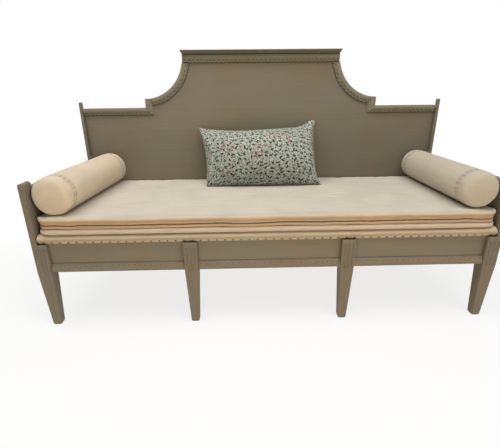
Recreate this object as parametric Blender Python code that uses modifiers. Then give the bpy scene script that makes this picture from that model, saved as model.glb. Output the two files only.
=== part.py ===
"""A painted sofa with a shaped panel back, low panelled arms, eight tapered legs and loose linen cushions.

Metres, +Z up. The origin is on the floor under the middle of the sofa, +X runs to the sitter's left as
seen from the front, and the front faces -Y. Every piece is one object in the collection "gustavian_sofa".
"""

import math

import bmesh
import bpy
from mathutils import Euler, Matrix, Vector

# Overall size, and the gap that pieces in contact keep
WIDTH = 1.828
DEPTH = 0.688
CLEAR = 0.0003
EDGE = 0.0015

# Seat frame
RAIL_BOTTOM = 0.2475
RAIL_H = 0.1245
RAIL_T = 0.024
APRON_SETBACK = 0.018
SIDE_SETBACK = 0.008
TENON_L = 0.015
TENON_SHOULDER = 0.004
STRETCHER_H = 0.060
STRETCHER_T = 0.022
LEDGER_W = 0.020
LEDGER_H = 0.020
SLAT_T = 0.012
SLAT_W = 0.085
SLATS = 10
BLOCK_LEG = 0.070
BLOCK_H = 0.050

# Legs
LEG_W = 0.054
FOOT_W = 0.033
FOOT_CHAMFER = 0.007
MIDDLE_LEG_X = 0.310
REAR_LEG_W = 0.045
REAR_STILE_TOP = 0.960
FLUTES = 3
FLUTE_PITCH = 0.0152
FLUTE_R = 0.0052
FLUTE_SINK = 0.0034
FLUTE_TOP_MARGIN = 0.016
FLUTE_TAIL = 0.009

# Back
PANEL_T = 0.022
POST_W = 0.045
POST_LIP = 0.021
POST_TIP = 0.013
POST_PROUD = 0.020
POST_BEHIND = 0.018
POST_RISE = 0.030
SHOULDER_Z = 0.841
STEP_RISE = 0.0430
STEP_X = 0.5840
COVE_R = 0.1985
COVE_STEPS = 12
CORNICE_H = 0.021
CORNICE_FILLET = 0.007
CORNICE_FRONT = 0.020
CORNICE_SIDE = 0.006

# Carved mouldings: width over the face, thickness out of it
BACK_MOULD_W = 0.036
BACK_MOULD_T = 0.016
APRON_MOULD_W = 0.034
APRON_MOULD_T = 0.012
# Section from the outer edge to the inner edge, as shares of the width and of the thickness
MOULD_SECTION = ((0.0, 1.0), (0.20, 1.0), (0.24, 0.84), (0.45, 0.78), (0.68, 0.56), (0.86, 0.30), (1.0, 0.22))

# Arms
ARM_TOP = 0.585
ARM_RAIL_T = 0.022
ARM_POST_RISE = 0.020

# Upholstery
DECK_H = 0.031
DECK_LIP = 0.0075
DECK_ROLL = 0.018
SOFT_CLEAR = 0.004
MATTRESS_H = 0.066
MATTRESS_CROWN = 0.004
CROWN_RUN = 0.026
MATTRESS_CORNER_R = 0.045
TOP_ROLL_R = 0.008
BOTTOM_ROLL_R = 0.013
SIDE_DRAW = 0.010
BOLSTER_R = 0.0745
BOLSTER_L = 0.600
BOLSTER_TURN = math.radians(2.2)
BOLSTER_PIPING_R = 0.0035
BOLSTER_STEPS = 24
BOLSTER_END_BULGE = 0.018
LEFT_BOLSTER_GAP = 0.012
RIGHT_BOLSTER_GAP = 0.0015
PILLOW_TOP_W = 0.599
PILLOW_FOOT_W = 0.559
PILLOW_H = 0.322
PILLOW_T = 0.135
PILLOW_DRAW = 0.075
PILLOW_SAG = 0.160
PILLOW_SKEW = 0.029
PILLOW_SLOPE = 0.0155
PILLOW_LEAN = math.radians(30.0)
PILLOW_SHIFT = 0.009

# Planes that the pieces share
FRONT = -DEPTH / 2
REAR = DEPTH / 2
END = WIDTH / 2
RAIL_TOP = RAIL_BOTTOM + RAIL_H
APRON_FRONT = FRONT + APRON_SETBACK
APRON_BACK = APRON_FRONT + RAIL_T
LEG_BACK = FRONT + LEG_W
LEG_IN = END - LEG_W
SIDE_OUT = END - SIDE_SETBACK
SIDE_IN = SIDE_OUT - RAIL_T
PANEL_BACK = REAR - POST_BEHIND
PANEL_FRONT = PANEL_BACK - PANEL_T
POST_FRONT = PANEL_FRONT - POST_PROUD
POST_IN = END - POST_W
POST_EDGE = END - POST_LIP
ARM_IN = POST_EDGE
POST_TOP = SHOULDER_Z + POST_RISE
REAR_RAIL_FRONT = PANEL_BACK - RAIL_T
STEP_TOP = SHOULDER_Z + STEP_RISE
BACK_TOP = STEP_TOP + COVE_R
CREST_X = STEP_X - COVE_R
LEDGER_TOP = RAIL_TOP - SLAT_T - 2 * CLEAR
LEDGER_BOTTOM = LEDGER_TOP - LEDGER_H
LIP_BOTTOM = RAIL_TOP - DECK_LIP
ARM_RAIL_BOTTOM = ARM_TOP - ARM_RAIL_T
DECK_BOTTOM = RAIL_TOP + CLEAR
DECK_TOP = DECK_BOTTOM + DECK_H
MATTRESS_BOTTOM = DECK_TOP + CLEAR
MATTRESS_TOP = MATTRESS_BOTTOM + MATTRESS_H + MATTRESS_CROWN
SOFT_HALF_X = ARM_IN - SOFT_CLEAR
SOFT_BACK = PANEL_FRONT - SOFT_CLEAR

UPRIGHT = Euler((math.pi / 2, 0.0, 0.0))
ACROSS = Euler((math.pi / 2, 0.0, math.pi / 2))


def clear_scene():
    for obj in list(bpy.data.objects):
        bpy.data.objects.remove(obj, do_unlink=True)


def collection(name):
    made = bpy.data.collections.new(name)
    bpy.context.scene.collection.children.link(made)
    return made


def finish(name, color, roughness):
    made = bpy.data.materials.new(name)
    made.use_nodes = True
    shader = made.node_tree.nodes["Principled BSDF"]
    shader.inputs["Base Color"].default_value = (*color, 1.0)
    shader.inputs["Roughness"].default_value = roughness
    shader.inputs["Metallic"].default_value = 0.0
    return made


clear_scene()
PARTS = collection("gustavian_sofa")
CUTTERS = collection("cutters")
PAINT = finish("greige_paint", (0.21, 0.175, 0.118), 0.55)
PINE = finish("bare_pine", (0.50, 0.36, 0.21), 0.65)
LINEN = finish("natural_linen", (0.64, 0.57, 0.44), 0.90)
TICKING = finish("deck_linen", (0.52, 0.43, 0.30), 0.90)
FLORAL = finish("floral_cotton", (0.46, 0.47, 0.40), 0.88)


def place(name, mesh, material, location=(0.0, 0.0, 0.0)):
    """Links a mesh as one named piece."""
    obj = bpy.data.objects.new(name, mesh)
    mesh.materials.append(material)
    obj.location = location
    PARTS.objects.link(obj)
    return obj


def mesh_from(bm, name):
    bmesh.ops.recalc_face_normals(bm, faces=bm.faces)
    mesh = bpy.data.meshes.new(name)
    bm.to_mesh(mesh)
    bm.free()
    return mesh


def soften(obj, width=EDGE, segments=1):
    """Breaks the sharp edges of a piece."""
    bevel = obj.modifiers.new("edges", "BEVEL")
    bevel.width = width
    bevel.segments = segments
    bevel.limit_method = "ANGLE"
    bevel.angle_limit = math.radians(30)
    return obj


def cube_between(low, high):
    """A bmesh box whose middle is at its own origin, and that middle."""
    size = Vector(high) - Vector(low)
    bm = bmesh.new()
    bmesh.ops.create_cube(bm, size=1.0, matrix=Matrix.Diagonal((*size, 1.0)))
    return bm, (Vector(high) + Vector(low)) / 2


def span(a, b):
    return (a, b) if a < b else (b, a)


def box(name, x, y, z, material, edge=EDGE):
    """A board between two planes on each axis."""
    low, high = zip(span(*x), span(*y), span(*z))
    bm, middle = cube_between(low, high)
    obj = place(name, mesh_from(bm, name), material, middle)
    return soften(obj, edge) if edge else obj


def as_cutter(obj):
    """Keeps a piece as a tool for Boolean cuts only."""
    PARTS.objects.unlink(obj)
    CUTTERS.objects.link(obj)
    obj.hide_render = True
    obj.display_type = "WIRE"
    return obj


def cut(obj, cutter):
    boolean = obj.modifiers.new("cut", "BOOLEAN")
    boolean.operation = "DIFFERENCE"
    boolean.object = cutter
    return obj


def cut_box(obj, x, y, z):
    """Cuts the space between two planes on each axis out of a piece."""
    return cut(obj, as_cutter(box(obj.name + "_cut", x, y, z, PAINT, edge=0.0)))


def outline(name, points, thickness, material, rotation, location):
    """A board cut to a flat outline, as a mesh with welded caps."""
    curve = bpy.data.curves.new(name, "CURVE")
    curve.dimensions = "2D"
    curve.fill_mode = "BOTH"
    curve.extrude = thickness / 2
    spline = curve.splines.new("POLY")
    spline.points.add(len(points) - 1)
    for point, (u, v) in zip(spline.points, points):
        point.co = (u, v, 0.0, 1.0)
    spline.use_cyclic_u = True
    flat = bpy.data.objects.new(name + "_outline", curve)
    CUTTERS.objects.link(flat)
    bpy.context.view_layer.update()
    graph = bpy.context.evaluated_depsgraph_get()
    mesh = bpy.data.meshes.new_from_object(flat.evaluated_get(graph))
    mesh.name = name
    bpy.data.objects.remove(flat, do_unlink=True)
    bm = bmesh.new()
    bm.from_mesh(mesh)
    bmesh.ops.remove_doubles(bm, verts=bm.verts, dist=1e-5)
    bmesh.ops.recalc_face_normals(bm, faces=bm.faces)
    bm.to_mesh(mesh)
    bm.free()
    mesh.materials.clear()
    obj = place(name, mesh, material, location)
    obj.rotation_euler = rotation
    return obj


def arc(centre, radius, start, end, steps):
    """Points of a round stretch in a plane, between two angles in degrees."""
    angles = [math.radians(start + (end - start) * i / steps) for i in range(steps + 1)]
    return [(centre[0] + radius * math.cos(a), centre[1] + radius * math.sin(a)) for a in angles]


def end_face(bm, axis, sign):
    return max(bm.faces, key=lambda face: sign * face.calc_center_median()[axis])


def push_face(bm, face, move):
    """Extrudes a face and moves its corners; returns the new face."""
    stands_alone = all(len(edge.link_faces) == 1 for edge in face.edges)
    made = bmesh.ops.extrude_face_region(bm, geom=[face])["geom"]
    if face.is_valid and not stands_alone:
        bmesh.ops.delete(bm, geom=[face], context="FACES_ONLY")
    for vert in (item for item in made if isinstance(item, bmesh.types.BMVert)):
        vert.co = move(vert.co)
    return next(item for item in made if isinstance(item, bmesh.types.BMFace))


# Seat frame


def rail(name, x, y, z, axis, ends=(-1, 1), edge=EDGE):
    """A rail between two shoulders, with a stub tenon on each of its named ends."""
    low, high = zip(span(*x), span(*y), span(*z))
    bm, middle = cube_between(low, high)
    length = high[axis] - low[axis]
    for sign in ends:
        face = end_face(bm, axis, sign)
        bmesh.ops.inset_region(bm, faces=[face], thickness=TENON_SHOULDER, use_even_offset=True)
        reach = Vector([sign * TENON_L if i == axis else 0.0 for i in range(3)])
        push_face(bm, face, lambda co: co + reach)
    long_edges = [e for e in bm.edges if abs(e.calc_length() - length) < CLEAR]
    bmesh.ops.bevel(bm, geom=long_edges, offset=edge, segments=1, affect="EDGES", profile=0.5, material=-1)
    return place(name, mesh_from(bm, name), PAINT, middle)


def mortise(obj, x, y, z):
    """Cuts the seat of a tenon, with clearance on every side. x, y and z are the tenon's own planes."""
    grown = [(low - CLEAR, high + CLEAR) for low, high in (span(*x), span(*y), span(*z))]
    return cut_box(obj, *grown)


def tenon_planes(low, high):
    """The planes of a tenon inside a rail's own thickness or height."""
    return low + TENON_SHOULDER, high - TENON_SHOULDER


def seat_rails():
    heights = (RAIL_BOTTOM, RAIL_TOP)
    front_x = (-LEG_IN + CLEAR, LEG_IN - CLEAR)
    rail("front_rail", front_x, (APRON_FRONT, APRON_BACK), heights, axis=0)
    rear_x = (-POST_IN + CLEAR, POST_IN - CLEAR)
    rail("rear_rail", rear_x, (REAR_RAIL_FRONT, PANEL_BACK), heights, axis=0)
    for side, name in SIDES:
        side_y = (LEG_BACK + CLEAR, POST_FRONT - CLEAR)
        rail(f"{name}_side_rail", (side * SIDE_IN, side * SIDE_OUT), side_y, heights, axis=1)


def seat_bearers():
    """Stretchers between the middle legs, ledgers along the rails and the slats that lie on them."""
    rear_leg_front = REAR - REAR_LEG_W
    stretcher_z = (RAIL_BOTTOM - CLEAR - STRETCHER_H / 2, RAIL_BOTTOM - CLEAR + STRETCHER_H / 2)
    for side, name in SIDES:
        middle = side * MIDDLE_LEG_X
        stretcher_x = (middle - STRETCHER_T / 2, middle + STRETCHER_T / 2)
        stretcher_y = (LEG_BACK + CLEAR, REAR_RAIL_FRONT - CLEAR)
        stretcher = box(f"{name}_stretcher", stretcher_x, stretcher_y, stretcher_z, PINE)
        cut_box(
            stretcher,
            (middle - REAR_LEG_W, middle + REAR_LEG_W),
            (rear_leg_front - CLEAR, REAR),
            (stretcher_z[0] - EDGE, RAIL_BOTTOM),
        )
    ledger_x = (-LEG_IN + CLEAR, LEG_IN - CLEAR)
    ledger_z = (LEDGER_BOTTOM, LEDGER_TOP)
    box("front_ledger", ledger_x, (APRON_BACK + CLEAR, APRON_BACK + LEDGER_W), ledger_z, PINE)
    box("rear_ledger", ledger_x, (REAR_RAIL_FRONT - LEDGER_W, REAR_RAIL_FRONT - CLEAR), ledger_z, PINE)
    slat_y = (APRON_BACK + CLEAR, REAR_RAIL_FRONT - CLEAR)
    slat_z = (LEDGER_TOP + CLEAR, RAIL_TOP - CLEAR)
    pitch = 2 * LEG_IN / SLATS
    for i in range(SLATS):
        middle = -LEG_IN + pitch * (i + 0.5)
        slat_x = (middle - SLAT_W / 2, middle + SLAT_W / 2)
        box(f"seat_slat_{i + 1:02d}", slat_x, slat_y, slat_z, PINE)


def corner_block(name, side, corner, rails, inward):
    """A glue block in a corner of the seat frame, notched round the leg's inner corner."""
    (post_x, post_y), (rail_x, rail_y) = corner, rails
    points = [
        (post_x - CLEAR, rail_y + inward * CLEAR),
        (post_x - BLOCK_LEG, rail_y + inward * CLEAR),
        (rail_x - CLEAR, post_y + inward * BLOCK_LEG),
        (rail_x - CLEAR, post_y + inward * CLEAR),
        (post_x - CLEAR, post_y + inward * CLEAR),
    ]
    middle_z = LEDGER_BOTTOM - CLEAR - BLOCK_H / 2
    turned = [(side * x, y) for x, y in points]
    return outline(name, turned, BLOCK_H, PINE, Euler((0.0, 0.0, 0.0)), (0.0, 0.0, middle_z))


def corner_blocks():
    for side, name in SIDES:
        corner_block(f"front_{name}_corner_block", side, (LEG_IN, LEG_BACK), (SIDE_IN, APRON_BACK), 1)
        corner_block(f"rear_{name}_corner_block", side, (POST_IN, POST_FRONT), (SIDE_IN, REAR_RAIL_FRONT), -1)


# Legs


def leg_mesh(width, top):
    """A square leg about its own middle: a block above the rail's underside, and a taper to a chamfered foot."""
    bm, _ = cube_between((-width / 2, -width / 2, RAIL_BOTTOM), (width / 2, width / 2, top))
    bmesh.ops.translate(bm, verts=bm.verts, vec=(0.0, 0.0, (RAIL_BOTTOM + top) / 2))
    foot = FOOT_W * width / LEG_W
    sole = end_face(bm, axis=2, sign=-1)
    for height, scale in ((FOOT_CHAMFER, foot / width), (0.0, (foot - FOOT_CHAMFER) / foot)):
        sole = push_face(bm, sole, lambda co: Vector((co.x * scale, co.y * scale, height)))
    return bm


def place_leg(name, bm, x, front, width):
    return soften(place(name, mesh_from(bm, name), PAINT, (x, front + width / 2, 0.0)))


def raise_arm_post(bm, side):
    """Carries the outer strip of a corner leg's block up as a thin arm post with a half-round top."""
    half = POST_LIP / 2
    middle = side * (LEG_W / 2 - half)
    spring = ARM_TOP + ARM_POST_RISE - half
    block = end_face(bm, axis=2, sign=1)
    geom = [block, *block.edges, *block.verts]
    bmesh.ops.bisect_plane(bm, geom=geom, plane_co=(middle - side * half, 0, 0), plane_no=(1, 0, 0))
    bm.normal_update()
    tops = [face for face in bm.faces if face.normal.z > 0.9]
    strip = max(tops, key=lambda face: side * face.calc_center_median().x)
    strip = push_face(bm, strip, lambda co: Vector((co.x, co.y, spring)))
    for degrees in (25, 50, 75):
        angle = math.radians(degrees)
        reach, height = half * math.cos(angle), spring + half * math.sin(angle)
        strip = push_face(bm, strip, lambda co: Vector((middle + math.copysign(reach, co.x - middle), co.y, height)))


def cut_flutes(leg, x, bottom, top):
    """Three round-ended flutes down the front face of a leg block."""
    bm = bmesh.new()
    half = (top - bottom) / 2 - FLUTE_R
    for i in range(FLUTES):
        made = bmesh.ops.create_uvsphere(bm, u_segments=10, v_segments=5, radius=FLUTE_R)["verts"]
        for vert in made:
            vert.co.z += math.copysign(half, vert.co.z)
        offset = (i - (FLUTES - 1) / 2) * FLUTE_PITCH
        bmesh.ops.translate(bm, verts=made, vec=(offset, 0.0, 0.0))
    name = leg.name + "_flutes"
    cutter = place(name, mesh_from(bm, name), PAINT)
    cutter.location = (x, FRONT - FLUTE_R + FLUTE_SINK, (top + bottom) / 2)
    return cut(leg, as_cutter(cutter))


def front_legs():
    """Two middle legs that straddle the front rail, and two corner legs that run up as the arm posts."""
    cheek_top = LIP_BOTTOM - CLEAR
    flutes = (RAIL_BOTTOM - FLUTE_TAIL, cheek_top - FLUTE_TOP_MARGIN)
    rail_tenon_z = tenon_planes(RAIL_BOTTOM, RAIL_TOP)
    for side, name in SIDES:
        bm = leg_mesh(LEG_W, cheek_top)
        leg = place_leg(f"front_{name}_middle_leg", bm, side * MIDDLE_LEG_X, FRONT, LEG_W)
        wide = (side * MIDDLE_LEG_X - LEG_W, side * MIDDLE_LEG_X + LEG_W)
        slot = (APRON_FRONT - CLEAR, APRON_BACK + CLEAR)
        cut_box(leg, wide, slot, (RAIL_BOTTOM - CLEAR, RAIL_TOP))
        cut_box(leg, wide, (APRON_BACK - RAIL_T / 2, LEG_BACK + EDGE), (LEDGER_BOTTOM - CLEAR, RAIL_TOP))
        cut_flutes(leg, side * MIDDLE_LEG_X, *flutes)

        corner_x = side * (END - LEG_W / 2)
        bm = leg_mesh(LEG_W, cheek_top)
        raise_arm_post(bm, side)
        post = place_leg(f"front_{name}_corner_leg", bm, corner_x, FRONT, LEG_W)
        front_tenon = (side * LEG_IN, side * (LEG_IN + TENON_L))
        mortise(post, front_tenon, tenon_planes(APRON_FRONT, APRON_BACK), rail_tenon_z)
        side_tenon = tenon_planes(SIDE_IN, SIDE_OUT)
        rear_reach = (LEG_BACK - TENON_L, LEG_BACK)
        mortise(post, [side * x for x in side_tenon], rear_reach, rail_tenon_z)
        arm_tenon = tenon_planes(ARM_IN, END)
        arm_z = tenon_planes(ARM_RAIL_BOTTOM, ARM_TOP)
        mortise(post, [side * x for x in arm_tenon], rear_reach, arm_z)
        cut_flutes(post, corner_x, *flutes)


def rear_legs():
    """Two middle legs that run up behind the back as stiles."""
    for side, name in SIDES:
        middle = side * MIDDLE_LEG_X
        front = REAR - REAR_LEG_W
        bm = leg_mesh(REAR_LEG_W, REAR_STILE_TOP)
        leg = place_leg(f"rear_{name}_middle_leg", bm, middle, front, REAR_LEG_W)
        wide = (middle - REAR_LEG_W, middle + REAR_LEG_W)
        above = (RAIL_BOTTOM - CLEAR, REAR_STILE_TOP + EDGE)
        cut_box(leg, wide, (front - EDGE, PANEL_BACK + CLEAR), above)


def taper_depth(post, share):
    """Draws the leg below the rail in from front and back, to a share of its depth at the foot."""
    bm = bmesh.new()
    bm.from_mesh(post.data)
    geom = [*bm.verts, *bm.edges, *bm.faces]
    bmesh.ops.bisect_plane(bm, geom=geom, plane_co=(0, RAIL_BOTTOM, 0), plane_no=(0, 1, 0))
    for vert in bm.verts:
        if vert.co.y < RAIL_BOTTOM - CLEAR:
            vert.co.z *= share
    bm.to_mesh(post.data)
    bm.free()


def rear_posts():
    """Corner posts: a tapered leg below the rails, and an edge that stands proud of the back above them."""
    foot = FOOT_W * POST_W / LEG_W
    middle = END - POST_W / 2
    half_tip = POST_TIP / 2
    crown = arc((END - half_tip, POST_TOP - half_tip), half_tip, 0.0, 150.0, 7)
    inner = [(POST_EDGE, SHOULDER_Z), (POST_IN, SHOULDER_Z), (POST_IN, RAIL_BOTTOM)]
    leg_in = [(middle - foot / 2, FOOT_CHAMFER), (middle - foot / 2 + FOOT_CHAMFER / 2, 0.0)]
    leg_out = [(middle + foot / 2 - FOOT_CHAMFER / 2, 0.0), (middle + foot / 2, FOOT_CHAMFER), (END, RAIL_BOTTOM)]
    points = crown + inner + leg_in + leg_out
    depth = REAR - POST_FRONT
    for side, name in SIDES:
        turned = [(side * x, z) for x, z in points]
        at = (0.0, (POST_FRONT + REAR) / 2, 0.0)
        post = outline(f"{name}_rear_post", turned, depth, PAINT, UPRIGHT, at)
        taper_depth(post, FOOT_W / LEG_W)
        lip_x = (side * (POST_IN - EDGE), side * (END + EDGE))
        cut_box(post, lip_x, (PANEL_FRONT - EDGE, REAR + EDGE), (SHOULDER_Z - 3 * EDGE, POST_TOP + EDGE))
        edge_x = (side * (POST_EDGE - 3 * EDGE), side * (END - POST_TIP))
        cut_box(post, edge_x, (POST_FRONT - EDGE, PANEL_FRONT), (ARM_TOP + ARM_RAIL_T, POST_TOP + EDGE))
        soften(post)
        rebate_x = (side * (POST_IN - EDGE), side * POST_EDGE)
        cut_box(post, rebate_x, (POST_FRONT - EDGE, PANEL_BACK + CLEAR), (RAIL_TOP, SHOULDER_Z + EDGE))
        rail_tenon_z = tenon_planes(RAIL_BOTTOM, RAIL_TOP)
        rear_tenon = (side * POST_IN, side * (POST_IN + TENON_L))
        mortise(post, rear_tenon, tenon_planes(REAR_RAIL_FRONT, PANEL_BACK), rail_tenon_z)
        side_tenon = [side * x for x in tenon_planes(SIDE_IN, SIDE_OUT)]
        mortise(post, side_tenon, (POST_FRONT, POST_FRONT + TENON_L), rail_tenon_z)
        arm_tenon = [side * x for x in tenon_planes(ARM_IN, END)]
        arm_z = tenon_planes(ARM_RAIL_BOTTOM, ARM_TOP)
        mortise(post, arm_tenon, (POST_FRONT, POST_FRONT + TENON_L), arm_z)


# Back


def back_panel():
    """The shaped panel: straight shoulders, a short step, a hollow quarter round and a flat crest."""
    edge = POST_EDGE - CLEAR
    cove = arc((STEP_X, BACK_TOP), COVE_R, 270.0, 180.0, COVE_STEPS)
    right = [(edge, RAIL_TOP + CLEAR), (edge, SHOULDER_Z), (STEP_X, SHOULDER_Z)] + cove
    left = [(-x, z) for x, z in reversed(right)]
    at = (0.0, (PANEL_FRONT + PANEL_BACK) / 2, 0.0)
    outline("back_panel", right + left, PANEL_T, PAINT, UPRIGHT, at)


def section_points(width, thickness):
    """The moulding's section: (across, out) from its outer edge to its inner edge, closed along its back."""
    return [(0.0, 0.0)] + [(a * width, t * thickness) for a, t in MOULD_SECTION] + [(width, 0.0)]


def moulding(name, start, along, inward, length, size, mitres=(0.0, 0.0)):
    """A straight run. start is its outer edge on the face; a mitre of 1 lengthens the inner edge by the width."""
    width, thickness = size
    along, inward = Vector(along), Vector(inward)
    bm = bmesh.new()
    verts = [bm.verts.new((0.0, across, out)) for across, out in section_points(width, thickness)]
    face = bm.faces.new(verts)
    push_face(bm, face, lambda co: Vector((length, co.y, co.z)))
    for vert in bm.verts:
        at_start = vert.co.x < length / 2
        vert.co.x += -mitres[0] * vert.co.y if at_start else mitres[1] * vert.co.y
    turn = Matrix((along, inward, along.cross(inward))).transposed()
    obj = place(name, mesh_from(bm, name), PAINT, start)
    obj.rotation_euler = turn.to_euler()
    return obj


def cove_moulding(name, side):
    """The hollow quarter round's moulding, from the step up to the frieze."""
    bm = bmesh.new()
    points = section_points(BACK_MOULD_W, BACK_MOULD_T)
    verts = [bm.verts.new((COVE_R + across, -out, 0.0)) for across, out in points]
    face = bm.faces.new(verts)
    geom = [face, *face.edges, *face.verts]
    bmesh.ops.spin(bm, geom=geom, axis=(0, 1, 0), cent=(0, 0, 0), angle=math.pi / 2, steps=COVE_STEPS)
    frieze_bottom = -BACK_MOULD_W - CLEAR
    step_inner = BACK_MOULD_W + CLEAR
    for point, normal in (((0, 0, frieze_bottom), (0, 0, 1)), ((step_inner, 0, 0), (-1, 0, 0))):
        geom = [*bm.verts, *bm.edges, *bm.faces]
        bmesh.ops.bisect_plane(bm, geom=geom, plane_co=point, plane_no=normal, clear_outer=True)
        bmesh.ops.holes_fill(bm, edges=[e for e in bm.edges if e.is_boundary])
    bmesh.ops.scale(bm, verts=bm.verts, vec=(-side, 1.0, 1.0))
    return place(name, mesh_from(bm, name), PAINT, (side * STEP_X, PANEL_FRONT - CLEAR, BACK_TOP))


def back_mouldings():
    size = (BACK_MOULD_W, BACK_MOULD_T)
    face = PANEL_FRONT - CLEAR
    moulding("frieze_moulding", (CREST_X, face, BACK_TOP), (-1, 0, 0), (0, 0, -1), 2 * CREST_X, size)
    outer = END - POST_TIP - CLEAR
    shoulder = outer - STEP_X
    for side, name in SIDES:
        cove_moulding(f"{name}_cove_moulding", side)
        step_z = STEP_TOP if side < 0 else SHOULDER_Z + CLEAR
        mitres = (0.0, 1.0) if side < 0 else (1.0, 0.0)
        run = (0, 0, side)
        start = (side * STEP_X, face, step_z)
        moulding(f"{name}_step_moulding", start, run, (-side, 0, 0), STEP_RISE - CLEAR, size, mitres)
        shoulder_x = -STEP_X - CLEAR if side < 0 else outer
        start = (shoulder_x, face, SHOULDER_Z)
        ends = (1.0, 0.0) if side < 0 else (0.0, 1.0)
        length = shoulder - CLEAR
        moulding(f"{name}_shoulder_moulding", start, (-1, 0, 0), (0, 0, -1), length, size, ends)


def cornice():
    """The flared cap on the crest: a fillet over a hollow that narrows to the frieze."""
    low = (-CREST_X - CORNICE_SIDE, PANEL_FRONT - BACK_MOULD_T - CORNICE_FRONT, BACK_TOP + CORNICE_H - CORNICE_FILLET)
    high = (CREST_X + CORNICE_SIDE, PANEL_BACK + CORNICE_SIDE, BACK_TOP + CORNICE_H)
    bm, middle = cube_between(low, high)
    seat_y = ((PANEL_FRONT - BACK_MOULD_T + PANEL_BACK) / 2, (PANEL_BACK - PANEL_FRONT + BACK_MOULD_T) / 2)
    seat_z = BACK_TOP + CLEAR - middle.z
    sole = end_face(bm, axis=2, sign=-1)
    for share, drop in ((0.40, 0.35), (0.0, 1.0)):
        half_x = CREST_X + share * CORNICE_SIDE

        def to_seat(co):
            front = co.y < 0
            flare = share * (CORNICE_FRONT if front else CORNICE_SIDE)
            y = seat_y[0] - middle.y + (-1 if front else 1) * (seat_y[1] + flare)
            under = -CORNICE_FILLET / 2
            return Vector((math.copysign(half_x, co.x), y, under + drop * (seat_z - under)))

        sole = push_face(bm, sole, to_seat)
    place("cornice", mesh_from(bm, "cornice"), PAINT, middle)


def apron_mouldings():
    size = (APRON_MOULD_W, APRON_MOULD_T)
    face = APRON_FRONT - CLEAR
    half_leg = LEG_W / 2 + CLEAR
    middle_out = MIDDLE_LEG_X + half_leg
    bay = LEG_IN - CLEAR - middle_out
    up, right = (0, 0, 1), (1, 0, 0)
    moulding("left_apron_moulding", (-LEG_IN + CLEAR, face, RAIL_BOTTOM), right, up, bay, size)
    centre = MIDDLE_LEG_X - half_leg
    moulding("centre_apron_moulding", (-centre, face, RAIL_BOTTOM), right, up, 2 * centre, size)
    moulding("right_apron_moulding", (middle_out, face, RAIL_BOTTOM), right, up, bay, size)
    length = POST_FRONT - LEG_BACK - 2 * CLEAR
    end_size = (APRON_MOULD_W, SIDE_SETBACK - CLEAR)
    for side, name in SIDES:
        start_y = POST_FRONT - CLEAR if side < 0 else LEG_BACK + CLEAR
        run = (0, side, 0)
        side_face = side * (SIDE_OUT + CLEAR)
        moulding(f"{name}_end_moulding", (side_face, start_y, RAIL_BOTTOM), run, up, length, end_size)


# Arms


def arms():
    """Low panelled arms between the corner legs and the rear posts."""
    for side, name in SIDES:
        arm_y = (LEG_BACK + CLEAR, POST_FRONT - CLEAR)
        panel_x = (side * ARM_IN, side * SIDE_OUT)
        panel_z = (RAIL_TOP + CLEAR, ARM_RAIL_BOTTOM - CLEAR)
        box(f"{name}_arm_panel", panel_x, arm_y, panel_z, PAINT)
        rail_x = (side * ARM_IN, side * END)
        rail(f"{name}_arm_rail", rail_x, arm_y, (ARM_RAIL_BOTTOM, ARM_TOP), axis=1, edge=2 * EDGE)
        start_y = LEG_BACK + CLEAR if side < 0 else POST_FRONT - CLEAR
        start = (side * (SIDE_OUT + CLEAR), start_y, ARM_RAIL_BOTTOM - CLEAR)
        length = POST_FRONT - LEG_BACK - 2 * CLEAR
        size = (BACK_MOULD_W, SIDE_SETBACK - CLEAR)
        moulding(f"{name}_arm_moulding", start, (0, -side, 0), (0, 0, -1), length, size)


# Upholstery


def seat_deck():
    """The stuffed seat: a flat pad on the rails whose front roll laps over the rail and is tacked there."""
    face = APRON_FRONT - CLEAR
    bulge = face - FRONT - CLEAR
    roll_middle = (LIP_BOTTOM + DECK_TOP) / 2
    roll_half = (DECK_TOP - LIP_BOTTOM) / 2
    roll = []
    for i in range(9):
        angle = math.radians(90 + 180 * i / 8)
        roll.append((face + bulge * math.cos(angle), roll_middle + roll_half * math.sin(angle)))
    back = SOFT_BACK
    points = [(back, DECK_BOTTOM), (back, DECK_TOP), (face + DECK_ROLL, DECK_TOP)] + roll + [(face, DECK_BOTTOM)]
    outline("seat_deck", points, 2 * SOFT_HALF_X, TICKING, ACROSS, (0.0, 0.0, 0.0))


def rounded_rectangle(half_x, half_y, radius, steps=4):
    points = []
    for quarter, (sx, sy) in enumerate(((1, 1), (-1, 1), (-1, -1), (1, -1))):
        centre = (sx * (half_x - radius), sy * (half_y - radius))
        points += arc(centre, radius, 90.0 * quarter, 90.0 * (quarter + 1), steps)
    return points


def mattress_profile():
    """(inset, height) up the mattress's side: a bottom roll, a drawn-in border, a top roll and the crown."""
    profile = [(BOTTOM_ROLL_R, 0.0)]
    for degrees in (-55, -20, 20, 60):
        a = math.radians(degrees)
        profile.append((BOTTOM_ROLL_R * (1 - math.cos(a)), BOTTOM_ROLL_R * (1 + math.sin(a))))
    border = (2 * BOTTOM_ROLL_R + MATTRESS_H - 2 * TOP_ROLL_R) / 2
    profile.append((SIDE_DRAW, border))
    for degrees in (-60, -20, 20, 60):
        a = math.radians(degrees)
        profile.append((TOP_ROLL_R * (1 - math.cos(a)), MATTRESS_H + TOP_ROLL_R * (math.sin(a) - 1)))
    profile.append((2 * TOP_ROLL_R, MATTRESS_H + 0.25 * MATTRESS_CROWN))
    profile.append((TOP_ROLL_R + CROWN_RUN, MATTRESS_H + MATTRESS_CROWN))
    return profile


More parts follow.
